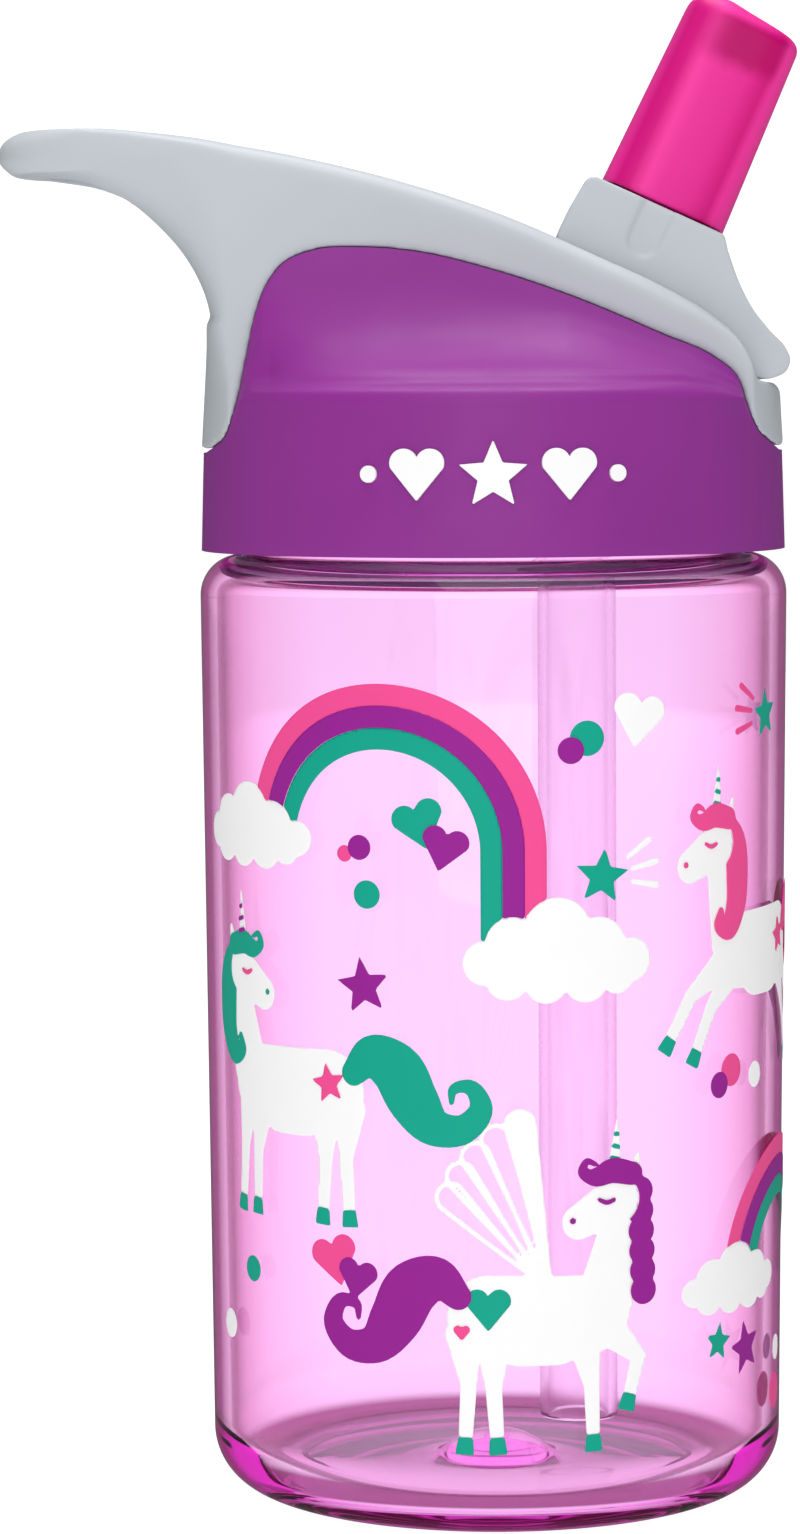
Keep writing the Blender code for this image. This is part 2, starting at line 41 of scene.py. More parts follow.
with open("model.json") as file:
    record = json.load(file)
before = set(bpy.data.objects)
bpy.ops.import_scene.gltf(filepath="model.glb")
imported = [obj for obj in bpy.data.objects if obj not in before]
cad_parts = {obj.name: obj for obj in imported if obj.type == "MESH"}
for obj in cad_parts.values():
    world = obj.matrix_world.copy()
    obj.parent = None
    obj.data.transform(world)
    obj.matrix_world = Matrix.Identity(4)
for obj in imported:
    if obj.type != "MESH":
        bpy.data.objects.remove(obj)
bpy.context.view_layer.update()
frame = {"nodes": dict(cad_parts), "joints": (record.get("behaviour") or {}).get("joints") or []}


def node_box(node):
    """The low and high corners of a node's box, in millimetres."""
    low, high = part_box(node)
    return low / MM, high / MM


JOINTS = {joint["name"]: joint for joint in frame["joints"]}

# ---------------- places and sizes from the frame

BOTTLE_HIGH = node_box("bottle_body")[1]
RIM_Z = BOTTLE_HIGH.z
BODY_RADIUS_HIGH = BOTTLE_HIGH.x
BODY_RADIUS_LOW = BODY_RADIUS_HIGH - 0.9
BODY_WALL = 2.0
BASE_RADIUS = 28.0
HEEL_ROUND = 7.6
SHOULDER_Z = RIM_Z - 15.2
SHOULDER_ROUND = 5.0
NECK_RADIUS = BODY_RADIUS_HIGH - 5.7
NECK_BORE = NECK_RADIUS - 2.2
THREAD_PITCH = 4.0
THREAD_HALF = 1.1
NECK_THREAD_Z = RIM_Z - 9.0

SLEEVE_LOW, SLEEVE_HIGH = node_box("cap_sleeve")
CAP_BOTTOM_Z = SLEEVE_LOW.z
SLEEVE_WALL = 1.35
SLEEVE_WALL_TOP_Z = CAP_BOTTOM_Z + 18.6
SEAM_END_Z = CAP_BOTTOM_Z + 12.1

SADDLE_LOW, SADDLE_HIGH = node_box("handle_saddle")
SADDLE_HALF = SADDLE_HIGH.y
SADDLE_INNER_HALF = SADDLE_HALF - 1.7
SADDLE_FOOT_Z = SADDLE_LOW.z
SADDLE_BASE_Z = 136.7
EDGE_FILLET = 2.2

PIVOT = Vector(JOINTS["spout_flip"]["pos_m"]) / MM
LEAN_DEGREES = 65.4
SPOUT_LEAN = math.radians(LEAN_DEGREES)
SPOUT_AXIS = Vector((math.cos(SPOUT_LEAN), 0.0, math.sin(SPOUT_LEAN)))
SPOUT_ACROSS = Vector((math.sin(SPOUT_LEAN), 0.0, -math.cos(SPOUT_LEAN)))
HUB_RADIUS = 6.5
ARM_HALF = 10.9
CHANNEL_HALF = ARM_HALF + 0.5
TRUNNION_RADIUS = 3.0
TRUNNION_REACH = node_box("spout_arm")[1].y
COLLAR_TOP = 19.2
VALVE_TIP = 45.5
VALVE_CENTRE = -0.25
PASSAGE_RADIUS = 2.7

STRAW_LOW, STRAW_HIGH = node_box("straw")
STRAW_X = (STRAW_LOW.x + STRAW_HIGH.x) / 2
STRAW_RADIUS = (STRAW_HIGH.x - STRAW_LOW.x) / 2
STRAW_WALL = 1.1

# ---------------- (x, z) outlines, as in the frame's solids

SEAM = (
    (-35.4, 129.9), (-32.7, 131.7), (-31.2, 135.4), (-29.8, 141.5), (-28.5, 147.1), (-27.3, 150.2),
    (-25.0, 153.0), (-21.5, 154.4), (-15.5, 154.7), (-9.0, 154.1), (0.0, 151.9), (10.0, 148.5),
    (20.6, 144.0), (26.7, 141.3), (29.5, 139.0), (30.8, 135.4), (32.0, 132.6), (35.3, 129.9),
)
SADDLE_TOP = (
    (-59.3, 164.1), (-60.9, 165.9), (-60.5, 167.8), (-58.6, 169.1), (-55.0, 169.3), (-47.4, 168.9),
    (-35.3, 167.8), (-23.2, 165.7), (-11.1, 162.7), (1.0, 158.7), (13.5, 153.2), (20.6, 149.9),
    (26.8, 146.2), (30.0, 143.3), (31.4, 140.6), (32.0, 138.6),
)
SADDLE_FRONT = ((33.2, 138.3), (34.9, 138.1), (35.6, 137.2), (36.1, SADDLE_FOOT_Z))
SADDLE_REAR = ((-36.2, SADDLE_FOOT_Z), (-35.7, 138.3), (-35.2, 145.7), (-34.6, 146.4))
SADDLE_UNDER = ((-35.2, 148.8), (-37.1, 152.9), (-42.7, 159.1), (-50.3, 162.9), (-56.5, 164.0))
CHANNEL_FLOOR = (
    (-33.0, 175.0), (-33.0, 152.0), (-9.5, 139.6), (-3.0, 136.0), (30.3, 136.0), (31.3, 138.3),
    (45.0, 138.3), (45.0, 175.0),
)
ARM_FRONT = (
    (24.0, 137.6), (30.5, 138.75), (34.5, 138.75), (35.9, 139.5), (36.4, 141.0), (35.9, 142.3),
    (34.0, 144.4), (31.8, 147.2), (30.2, 150.3), (28.8, 154.2),
)
ARM_REAR = ((9.4, 159.4), (8.0, 156.2), (8.3, 150.5))


def arc(centre, radius, first, last, spans):
    """Points (x, z) on an arc, with its angles in degrees."""
    points = []
    for i in range(spans + 1):
        angle = math.radians(first + (last - first) * i / spans)
        points.append((centre[0] + radius * math.cos(angle), centre[1] + radius * math.sin(angle)))
    return points


def smooth(points, spans):
    """A smooth curve through the points, with the given number of steps to each span."""
    knots = [Vector(p) for p in points]
    lengths = [(b - a).length for a, b in zip(knots, knots[1:])]
    slopes = [(b - a) / d for a, b, d in zip(knots, knots[1:], lengths)]
    tangents = [slopes[0]]
    for i in range(1, len(slopes)):
        before, after = lengths[i - 1], lengths[i]
        tangents.append((slopes[i - 1] * after + slopes[i] * before) / (before + after))
    tangents.append(slopes[-1])
    curve = []
    for i, d in enumerate(lengths):
        for k in range(spans):
            t = k / spans
            curve.append(
                knots[i] * (2 * t**3 - 3 * t**2 + 1)
                + tangents[i] * d * (t**3 - 2 * t**2 + t)
                + knots[i + 1] * (3 * t**2 - 2 * t**3)
                + tangents[i + 1] * d * (t**3 - t**2)
            )
    curve.append(knots[-1])
    return [tuple(p) for p in curve]


def clamped(value, low=0.0):
    return min(max(value, low), 1.0)


def spout_point(along, across, y=0.0):
    """A point given along and across the spout's own axis."""
    return PIVOT + SPOUT_AXIS * along + SPOUT_ACROSS * across + Vector((0.0, y, 0.0))


# ---------------- making meshes


def add_object(name, bm):
    mesh = bpy.data.meshes.new(name)
    bm.to_mesh(mesh)
    bm.free()
    obj = bpy.data.objects.new(name, mesh)
    bpy.context.scene.collection.objects.link(obj)
    return obj


def turned(name, profile, steps=256, ring=False, at_x=0.0):
    """A profile of (radius, z), run down its outer side, turned round a vertical axis at at_x."""
    bm = bmesh.new()
    points = [bm.verts.new((r * MM, 0.0, z * MM)) for r, z in profile]
    for a, b in zip(points, points[1:]):
        bm.edges.new((a, b))
    if ring:
        bm.edges.new((points[-1], points[0]))
    obj = add_object(name, bm)
    obj.location.x = at_x * MM
    screw = obj.modifiers.new("turn", "SCREW")
    screw.steps = screw.render_steps = steps
    screw.use_merge_vertices = True
    screw.merge_threshold = 1e-6
    return obj


def lofted(name, rings):
    """A closed solid through rings with the same number of points, with a flat cap at each end."""
    bm = bmesh.new()
    loops = [[bm.verts.new(Vector(p) * MM) for p in ring] for ring in rings]
    for low, high in zip(loops, loops[1:]):
        for i in range(len(low)):
            j = (i + 1) % len(low)
            bm.faces.new((low[i], low[j], high[j], high[i]))
    bm.faces.new(loops[0][::-1])
    bm.faces.new(loops[-1])
    bm.normal_update()
    bmesh.ops.triangulate(bm, faces=bm.faces)
    bmesh.ops.recalc_face_normals(bm, faces=bm.faces)
    return add_object(name, bm)


def prism(name, outline, y_low, y_high):
    """An outline of (x, z) points stretched from y_low to y_high."""
    return lofted(name, [[(x, y, z) for x, z in outline] for y in (y_low, y_high)])


def rod(name, start, end, radius, steps=64):
    """A cylinder from one point to another."""
    start, end = Vector(start), Vector(end)
    bm = bmesh.new()
    bmesh.ops.create_cone(
        bm,
        cap_ends=True,
        segments=steps,
        radius1=radius * MM,
        radius2=radius * MM,
        depth=(end - start).length * MM,
    )
    turn = (end - start).to_track_quat("Z", "Y").to_matrix().to_4x4()
    bmesh.ops.transform(bm, matrix=Matrix.Translation((start + end) / 2 * MM) @ turn, verts=bm.verts)
    return add_object(name, bm)


def combine(target, operation, others):
    """Joins the other solids to the target or cuts them from it; settled() applies it."""
    for other in others:
        boolean = target.modifiers.new(other.name, "BOOLEAN")
        boolean.operation = operation
        boolean.solver = "EXACT"
        boolean.object = other


def settled(obj):
    """The object with its modifiers applied, shaded smooth, and its Boolean helpers removed."""
    helpers = {m.object for m in obj.modifiers if m.type == "BOOLEAN"}
    graph = bpy.context.evaluated_depsgraph_get()
    mesh = bpy.data.meshes.new_from_object(obj.evaluated_get(graph))
    obj.modifiers.clear()
    obj.data = mesh
    for helper in helpers:
        bpy.data.objects.remove(helper)
    mesh.shade_smooth()
    return obj


def bevelled(obj, width, segments, angle):
    edge = obj.modifiers.new("edges", "BEVEL")
    edge.width = width * MM
    edge.segments = segments
    edge.limit_method = "ANGLE"
    edge.angle_limit = math.radians(angle)
    return obj


def moulded(obj, voxel, passes):
    """Adds an even fine skin with softly rounded edges, as a moulding has."""
    skin = obj.modifiers.new("skin", "REMESH")
    skin.mode = "VOXEL"
    skin.voxel_size = voxel * MM
    skin.use_smooth_shade = True
    soften = obj.modifiers.new("soften", "SMOOTH")
    soften.factor = 0.5
    soften.iterations = passes
    return settled(obj)


def placed(piece, material, body, slot, *nodes):
    """Gives a piece its material and its body, and hides the CAD nodes it stands for; the slot is not used.
    """
    piece.data.materials.clear()
    piece.data.materials.append(material)
    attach(piece, body)
    if nodes:
        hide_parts(*nodes)
    return piece


# ---------------- materials


class Nodes:
    """A material's node tree, with a Principled shader joined to its output."""

    def __init__(self, name):
        self.material = bpy.data.materials.new(name)
        self.material.use_nodes = True
        self.tree = self.material.node_tree
        self.shader = self.tree.nodes["Principled BSDF"]
        self.output = self.tree.nodes["Material Output"]

    def add(self, kind, inputs, **settings):
        """A new node. Each of its inputs is given a value, or another node's output to be joined to."""
        node = self.tree.nodes.new(kind)
        for key, value in settings.items():
            setattr(node, key, value)
        for key, value in inputs.items():
            if isinstance(value, bpy.types.NodeSocket):
                self.link(value, node.inputs[key])
            else:
                node.inputs[key].default_value = value
        return node

    def link(self, start, end):
        self.tree.links.new(start, end)

    def place(self):
        return self.add("ShaderNodeTexCoord", {}).outputs["Object"]

    def noise(self, scale, detail):
        inputs = {"Vector": self.place(), "Scale": scale, "Detail": detail}
        return self.add("ShaderNodeTexNoise", inputs).outputs["Fac"]

    def bump(self, height, distance):
        inputs = {"Strength": 1.0, "Distance": distance * MM, "Height": height}
        self.link(self.add("ShaderNodeBump", inputs).outputs["Normal"], self.shader.inputs["Normal"])

    def spread(self, value, low, high):
        """Spreads the middle range of a noise from low to high."""
        inputs = {"Value": value, "From Min": 0.3, "From Max": 0.7, "To Min": low, "To Max": high}
        return self.add("ShaderNodeMapRange", inputs).outputs["Result"]

    def step(self, value, low, high, kind="SMOOTHSTEP"):
        """Goes from 0 to 1 as a length goes from low to high."""
        inputs = {"Value": value, "From Min": low * MM, "From Max": high * MM}
        return self.add("ShaderNodeMapRange", inputs, interpolation_type=kind).outputs["Result"]

    def product(self, first, second):
        return self.add("ShaderNodeMath", {0: first, 1: second}, operation="MULTIPLY").outputs["Value"]

    def vector(self, operation, inputs, output):
        return self.add("ShaderNodeVectorMath", inputs, operation=operation).outputs[output]

    def dot(self, direction):
        """How far a point lies in one direction."""
        return self.vector("DOT_PRODUCT", {0: self.place(), 1: direction}, "Value")

    def mixed(self, factor, first, second):
        """A mix of two colours, of which the first may be another node's output."""
        if isinstance(first, tuple):
            first = (*first, 1.0)
        inputs = {"Factor": factor, 6: first, 7: (*second, 1.0)}
        return self.add("ShaderNodeMix", inputs, data_type="RGBA").outputs[2]

    def ramp(self, value, bands):
        """A colour ramp with (share, colour) stops."""
        ramp = self.add("ShaderNodeValToRGB", {"Fac": value})
        stops = ramp.color_ramp.elements
        for _ in bands[2:]:
            stops.new(0.5)
        for stop, (share, colour) in zip(stops, bands):
            stop.position = share
            stop.color = (*colour, 1.0)
        return ramp.outputs["Color"]

    def paint(self, colour):
        self.link(colour, self.shader.inputs["Base Color"])

    def mottle(self, scale, detail, light, dark):
        """Paints the material in two close shades that wander into each other."""
        self.paint(self.mixed(self.spread(self.noise(scale, detail), 0.0, 1.0), light, dark))

    def set(self, **values):
        for name, value in values.items():
            socket = self.shader.inputs[name.replace("_", " ")]
            socket.default_value = (*value, 1.0) if isinstance(value, tuple) else value


def satin_plastic(name, light, dark, roughness, gloss):
    """Moulded plastic: a slight mottle, a fine satin grain, and a gloss that varies a little."""
    made = Nodes(name)
    made.mottle(45.0, 2.0, light, dark)
    wear = made.noise(160.0, 4.0)
    made.link(made.spread(wear, roughness - 0.04, roughness + 0.05), made.shader.inputs["Roughness"])
    made.bump(made.noise(5200.0, 2.0), 0.006)
    made.set(Specular_IOR_Level=gloss)
    return made.material


def heel_painted_shade(made, colour, heel):
    """The colour, with painted shade low down on the outside of the base, where the thick corner of the
    plastic shows dark."""
    flat = made.vector("MULTIPLY", {0: made.place(), 1: (1.0, 1.0, 0.0)}, "Vector")
    away = made.vector("LENGTH", {0: flat}, "Value")
    outside = made.step(away, BASE_RADIUS - 0.9, BASE_RADIUS + 0.2)
    below = made.step(made.dot((0.0, 0.0, 1.0)), 4.0, 2.2)
    return made.mixed(made.product(outside, below), colour, heel)


def clear_plastic(name, absorb, density, roughness, rim, ior, heel=None):
    """Clear tinted plastic: the tint comes from the depth of plastic that the light goes through, and
    painted shade darkens its colour where the surface turns away, by the rim's (share, colour) stops, and
    at the heel."""
    made = Nodes(name)
    made.set(Transmission_Weight=1.0, IOR=ior, Roughness=roughness)
    # Painted shade: the colour darkens as the surface turns away from the view.
    colour = made.ramp(made.add("ShaderNodeLayerWeight", {}).outputs["Facing"], rim)
    made.paint(heel_painted_shade(made, colour, heel) if heel else colour)
    volume = made.add("ShaderNodeVolumeAbsorption", {"Color": (*absorb, 1.0), "Density": density})
    made.link(volume.outputs["Volume"], made.output.inputs["Volume"])
    return made.material


def soft_silicone(name, colour, deep, roughness):
    """Silicone: light goes a little way in, and the surface has a faint waviness."""
    made = Nodes(name)
    made.mottle(90.0, 2.0, colour, deep)
    made.set(Roughness=roughness, Subsurface_Weight=0.4, Subsurface_Scale=2.5 * MM)
    made.set(Specular_IOR_Level=0.45)
    made.shader.inputs["Subsurface Radius"].default_value = (1.0, 0.25, 0.5)
    made.bump(made.noise(900.0, 2.0), 0.01)
    return made.material


def mouth_silicone(name):
    """The mouthpiece's silicone, with light and shade painted into its colour: its two walls painted
    lighter, painted shade over the hollow between them, a painted highlight line, and the darkest painted
    shade at the end of the hollow, under the closed tip."""
    made = Nodes(name)

    def span(direction, low, high, wobble=None):
        """From 0 to 1 as a point goes from low to high in one direction from the spout's pivot."""
        value = made.dot(direction)
        if wobble is not None:
            inputs = {0: wobble, 1: 2.6 * MM, 2: value}
            value = made.add("ShaderNodeMath", inputs, operation="MULTIPLY_ADD").outputs["Value"]
        start = PIVOT.dot(direction)
        return made.step(value, start + low, start + high)

    # Colours for the painted light and shade: lighter walls, painted shade over the hollow, and the darkest
    # painted shade for the tip.
    light, deep, painted_tip_shade = (0.85, 0.03, 0.32), (0.64, 0.008, 0.205), (0.49, 0.0, 0.135)
    centre = PIVOT.dot(SPOUT_ACROSS) + VALVE_CENTRE
    across = made.step(made.dot(SPOUT_ACROSS), centre - 8.5, centre + 8.5, "LINEAR")
    # Across the mouthpiece: the stop at 0.31 is a painted highlight line, and the deep stops are painted
    # shade over the hollow.
    bands = (
        (0.06, light), (0.12, deep), (0.2, (0.68, 0.011, 0.22)), (0.31, (0.92, 0.047, 0.365)),
        (0.42, (0.83, 0.03, 0.32)), (0.66, (0.77, 0.02, 0.285)), (0.8, deep), (0.86, light),
    )
    colour = made.ramp(across, bands)
    ripple = made.noise(260.0, 2.0)
    # Painted shade at the end of the hollow, under the closed tip.
    end = made.product(span(SPOUT_AXIS, 38.6, 41.4, ripple), span(SPOUT_AXIS, 44.4, 43.2))
    middle = made.product(span(SPOUT_ACROSS, -6.4, -0.4), span(SPOUT_ACROSS, 6.2, 4.8))
    made.paint(made.mixed(made.product(end, middle), colour, painted_tip_shade))
    made.set(Roughness=0.42, Subsurface_Weight=0.1, Subsurface_Scale=1.0 * MM, Specular_IOR_Level=0.16)
    made.bump(made.noise(900.0, 2.0), 0.008)
    return made.material


def ink(name, colour):
    """Screen-printed ink: nearly even, with a faint orange peel."""
    made = Nodes(name)
    made.mottle(300.0, 3.0, colour, tuple(c * 0.985 for c in colour))
    made.set(Roughness=0.55, Specular_IOR_Level=0.2)
    made.bump(made.noise(2500.0, 2.0), 0.004)
    return made.material


# ---------------- bottle


def wall_radius(z):
    """The bottle's outer radius along its straight wall."""
    length = SHOULDER_Z - (HEEL_ROUND + SHOULDER_ROUND)
    return BODY_RADIUS_LOW + (BODY_RADIUS_HIGH - BODY_RADIUS_LOW) * (z - HEEL_ROUND) / length


def thread_ridge(root, crest):
    """One turn of a right-hand ridge from the root radius to the crest radius; its ends run out flat."""
    steps = 180
    rings = []
    for i in range(steps + 1):
        turn = 360.0 * i / steps
        rise = min(1.0, 0.12 + min(turn, 360.0 - turn) / 25.0)
        angle = math.radians(turn)
        z = NECK_THREAD_Z + THREAD_PITCH * turn / 360.0
        top = root + (crest - root) * rise
        half = THREAD_HALF - 0.65 * rise
        section = ((root, z - THREAD_HALF), (top, z - half), (top, z + half), (root, z + THREAD_HALF))
        rings.append([(r * math.cos(angle), r * math.sin(angle), height) for r, height in section])
    return lofted("neck_thread", rings)


def bottle(material):
    """The body, turned in one profile: up its inside, over the rim and down its outside to the base."""
    floor_z, floor_round, inner_round, neck_round, rim_round, neck_foot = 3.4, 6.0, 3.0, 1.2, 0.5, 0.7
    inner_low = BODY_RADIUS_LOW - BODY_WALL
    inner_high = BODY_RADIUS_HIGH - BODY_WALL
    inside = smooth([(0.0, 6.4), (3.0, 6.15), (5.6, 5.0), (7.7, 3.6), (9.6, floor_z)], 6)
    inside += arc((inner_low - floor_round, floor_z + floor_round), floor_round, -90, 0, 20)
    inside += arc((inner_high - inner_round, SHOULDER_Z - 5.0), inner_round, 0, 90, 12)
    inside += arc((NECK_BORE + neck_round, SHOULDER_Z - 0.8), neck_round, 270, 180, 6)
    inside += [(NECK_BORE, RIM_Z - rim_round)]
    rim = arc((NECK_BORE + rim_round, RIM_Z - rim_round), rim_round, 180, 90, 3)[1:]
    rim += arc((NECK_RADIUS - rim_round, RIM_Z - rim_round), rim_round, 90, 0, 3)
    outside = arc((NECK_RADIUS + neck_foot, SHOULDER_Z + neck_foot), neck_foot, 180, 270, 4)
    shoulder_centre = (BODY_RADIUS_HIGH - SHOULDER_ROUND, SHOULDER_Z - SHOULDER_ROUND)
    outside += arc(shoulder_centre, SHOULDER_ROUND, 90, 0, 20)
    outside += arc((BASE_RADIUS, HEEL_ROUND), HEEL_ROUND, 0, -90, 28)
    # The foot ring's inner edge, the recess, and the low gate disc in the middle.
    base = [(25.0, 0.0)] + smooth([(24.9, 0.02), (24.5, 0.5), (24.0, 1.0)], 4)
    base += [(5.9, 1.0), (5.6, 0.95), (5.4, 0.55), (5.1, 0.5), (0.0, 0.5)]
    body = turned("bottle", inside + rim + outside + base)
    combine(body, "UNION", [thread_ridge(NECK_RADIUS - 0.3, NECK_RADIUS + 1.3)])
    placed(settled(body), material, "bottle", "clear_pink", "bottle_body")


def straw(material):
    top, low = STRAW_HIGH.z, STRAW_LOW.z
    outer, inner = STRAW_RADIUS, STRAW_RADIUS - STRAW_WALL
    cut = 0.3
    profile = [(inner + cut, top), (outer - cut, top), (outer, top - cut), (outer, low + cut)]
    profile += [(outer - cut, low), (inner + cut, low), (inner, low + cut), (inner, top - cut)]
    tube = settled(turned("drinking_straw", profile, steps=96, ring=True, at_x=STRAW_X))
    tube.data.set_sharp_from_angle(angle=math.radians(35))
    placed(tube, material, "cap", "straw_plastic", "straw")


# ---------------- cap


def sleeve_radius(z):
    taper = 0.028
    return SLEEVE_HIGH.x - taper * (z - CAP_BOTTOM_Z)


def sleeve_y(x, z):
    """Half the width across the plain ring at this x and height."""
    return math.sqrt(max(sleeve_radius(z) ** 2 - x * x, 0.0))


def sleeve_column(x, z_seam):
    """Points of the sleeve at one x, up its wall, over the shoulder and up the side dome to the seam."""
    z_wall = min(SLEEVE_WALL_TOP_Z, z_seam - 1.0)
    y_wall = sleeve_y(x, z_wall)
    inward = max(y_wall - SADDLE_HALF, 0.0)
    rise = z_seam - z_wall
    middle = (min(7.8, 0.62 * rise), max(inward - 4.5, 0.72 * inward))
    shoulder = ((0.9, 0.35), (1.45, 1.2), (2.0, 2.6), (2.8, 3.5))
    steps = [
        (min(up, rise * 0.1 * (i + 1)), min(over, inward * 0.13 * (i + 1)))
        for i, (up, over) in enumerate(shoulder)
    ]
    top = (rise, inward)
    for start, end, shares in ((steps[-1], middle, (0.40, 0.50)), (middle, top, (0.45, 0.65))):
        steps += [tuple(a + (b - a) * f for a, b, f in zip(start, end, shares)), end]
    column = []
    for fraction in (0.0, 0.33, 0.67, 0.93, 1.0):
        z = CAP_BOTTOM_Z + (z_wall - CAP_BOTTOM_Z) * fraction
        column.append((sleeve_y(x, z), z))
    for up, over in steps:
        z = z_wall + up
        column.append((sleeve_y(x, z) if inward == 0.0 else y_wall - over, z))
    return [(x, y, z) for y, z in smooth(column, 4)]


def ring_column(angle, rows):
    """A column of the plain ring under the rear wall or the front tongue, at an angle round the axis."""
    column = []
    for i in range(rows):
        z = CAP_BOTTOM_Z + (SEAM_END_Z - CAP_BOTTOM_Z) * i / (rows - 1)
        r = sleeve_radius(z)
        y = 0.0 if math.sin(angle) < 1e-6 else r * math.sin(angle)
        column.append((r * math.cos(angle), y, z))
    return column


def sleeve(material):
    seam = smooth(SEAM, 12)
    rows = len(sleeve_column(0.0, 150.0))
    end_radius = sleeve_radius(SEAM_END_Z)
    rear, front = (math.acos(x / end_radius) for x in (seam[0][0], seam[-1][0]))
    ends = 14
    columns = [ring_column(math.pi + (rear - math.pi) * i / ends, rows) for i in range(ends)]
    columns += [sleeve_column(x, z) for x, z in seam]
    columns += [ring_column(front * (1 - i / ends), rows) for i in range(1, ends + 1)]
    bm = bmesh.new()
    grid = [[bm.verts.new(Vector(p) * MM) for p in column] for column in columns]
    for a, b in zip(grid, grid[1:]):
        for i in range(len(a) - 1):
            bm.faces.new((a[i], a[i + 1], b[i + 1], b[i]))
    shell = add_object("cap_shell", bm)
    mirror = shell.modifiers.new("other side", "MIRROR")
    mirror.use_axis = (False, True, False)
    mirror.merge_threshold = 1e-6
    wall = shell.modifiers.new("wall", "SOLIDIFY")
    wall.thickness = SLEEVE_WALL * MM
    wall.offset = -1.0
    wall.use_even_offset = True
    shell = settled(bevelled(shell, width=0.2, segments=3, angle=60))
    placed(shell, material, "cap", "purple_plastic", "cap_sleeve")


def saddle_x(x, z, y):
    """Where a point of the saddle's side outline lies at this y: the front follows the cap's ring, the
    rear wall too, and the handle closes in a rounded end."""
    ring, root, wall_top = 35.75, -31.0, 135.5
    if x > 0.0:
        return min(x, math.sqrt(max(x, ring) ** 2 - y * y))
    if x > root:
        return x
    fullness, reach = 3.2, 0.994
    narrowing = (1.0 - (reach * abs(y) / SADDLE_HALF) ** fullness) ** (1 / fullness)
    handle = root + (x - root) * narrowing
    wall = -math.sqrt(x * x - y * y)
    return wall + (handle - wall) * clamped((z - wall_top) / 10.0)


def saddle_outline():
    """The saddle's side outline, clockwise, as (x, z, lift): lift is the share of the edge fillet that
    raises a point (or, below 0, lowers it) where the outline narrows towards the saddle's sides."""
    tip_z = (SADDLE_TOP[0][1] + SADDLE_TOP[4][1]) / 2
    tip_x, tip_half = -56.0, 2.6
    outline = []
    for x, z in smooth(SADDLE_TOP, 10):
        above_tip = clamped((z - tip_z) / tip_half, -1.0) if x < tip_x else 1.0
        outline.append((x, z, -above_tip * clamped((SADDLE_TOP[-1][0] - x) / 10.0)))
    outline += [(x, z, 0.0) for x, z in SADDLE_FRONT + SADDLE_REAR]
    wall_top = SADDLE_REAR[-1]
    for x, z in smooth((wall_top,) + SADDLE_UNDER, 10)[1:]:
        outline.append((x, z, min((z - wall_top[1]) / 8.0, 1.0)))
    return outline


def saddle(material):
    outline = saddle_outline()
    flat_half = SADDLE_HALF - EDGE_FILLET
    stations = [(flat_half * i / 12, 0.0) for i in range(13)]
    for i in range(1, 10):
        turn = math.radians(10 * i)
        stations.append((flat_half + EDGE_FILLET * math.sin(turn), EDGE_FILLET * (1 - math.cos(turn))))
    rings = []
    for side, listed in ((-1, stations[:0:-1]), (1, stations)):
        for y, inset in listed:
            rings.append([(saddle_x(x, z, y), side * y, z + inset * lift) for x, z, lift in outline])
    body = lofted("saddle_and_handle", rings)
    aside, beyond, under = 37.5, 40.0, 100.0
    grown = [(x, z + 0.1) for x, z in smooth(SEAM, 10)]
    grown[0] = (-aside, SADDLE_FOOT_Z + 0.05)
    grown[-1] = (aside, SADDLE_FOOT_Z + 0.05)
    room = [(-aside, under)] + grown + [(aside, under)]
    low_room = [p for p in room if p[1] < SLEEVE_WALL_TOP_Z]
    hollow = ((-30.5, 130.0), (-30.5, 148.3), (-10.0, 137.9), (-10.0, 130.0))
    hollow_half, inner_cap_room, bearing = 13.2, 34.45, 14.6
    combine(
        body,
        "DIFFERENCE",
        [
            prism("room_left", room, SADDLE_INNER_HALF, beyond),
            prism("room_right", room, -beyond, -SADDLE_INNER_HALF),
            prism("room_low", low_room, -beyond, beyond),
            rod("inner_cap_room", (0, 0, under), (0, 0, SADDLE_BASE_Z), inner_cap_room, 256),
            prism("channel", CHANNEL_FLOOR, -CHANNEL_HALF, CHANNEL_HALF),
            prism("hollow", hollow, -hollow_half, hollow_half),
            finger_hole(),
            cross_rod("bearings", bearing, TRUNNION_RADIUS + 0.2),
        ],
    )
    placed(moulded(body, voxel=0.42, passes=5), material, "cap", "grey_plastic", "handle_saddle")


def finger_hole():
    """An upright oval hole through the handle."""
    centre_x, half_x, half_y = -47.0, 7.6, 9.2
    turns = [2 * math.pi * i / 96 for i in range(96)]
    oval = [(centre_x + half_x * math.cos(turn), half_y * math.sin(turn)) for turn in turns]
    return lofted("finger_hole", [[(x, y, z) for x, y in oval] for z in (140.0, 180.0)])


# ---------------- spout


def cross_rod(name, half, radius):
    """A rod along the spout's pivot, to both sides."""
    return rod(name, (PIVOT.x, -half, PIVOT.z), (PIVOT.x, half, PIVOT.z), radius)


def spout_rod(name, first, last, across, radius):
    """A rod along the spout's axis."""
    return rod(name, spout_point(first, across), spout_point(last, across), radius)


def rounded_section(along, half_across, half_y, slant=0.0):
    """A rounded rectangle square to the spout's axis, or leaning back by the slant at its front."""
    steps, squareness = 96, 4.0
    ring = []
    for i in range(steps):
        turn = 2 * math.pi * (i + 0.5) / steps
        c, s = math.cos(turn), math.sin(turn)
        across = half_across * math.copysign(abs(c) ** (2 / squareness), c)
        y = half_y * math.copysign(abs(s) ** (2 / squareness), s)
        fall = slant * max(across + 0.5 * half_across, 0.0) / half_across
        ring.append(spout_point(along - fall, VALVE_CENTRE + across, y))
    return ring


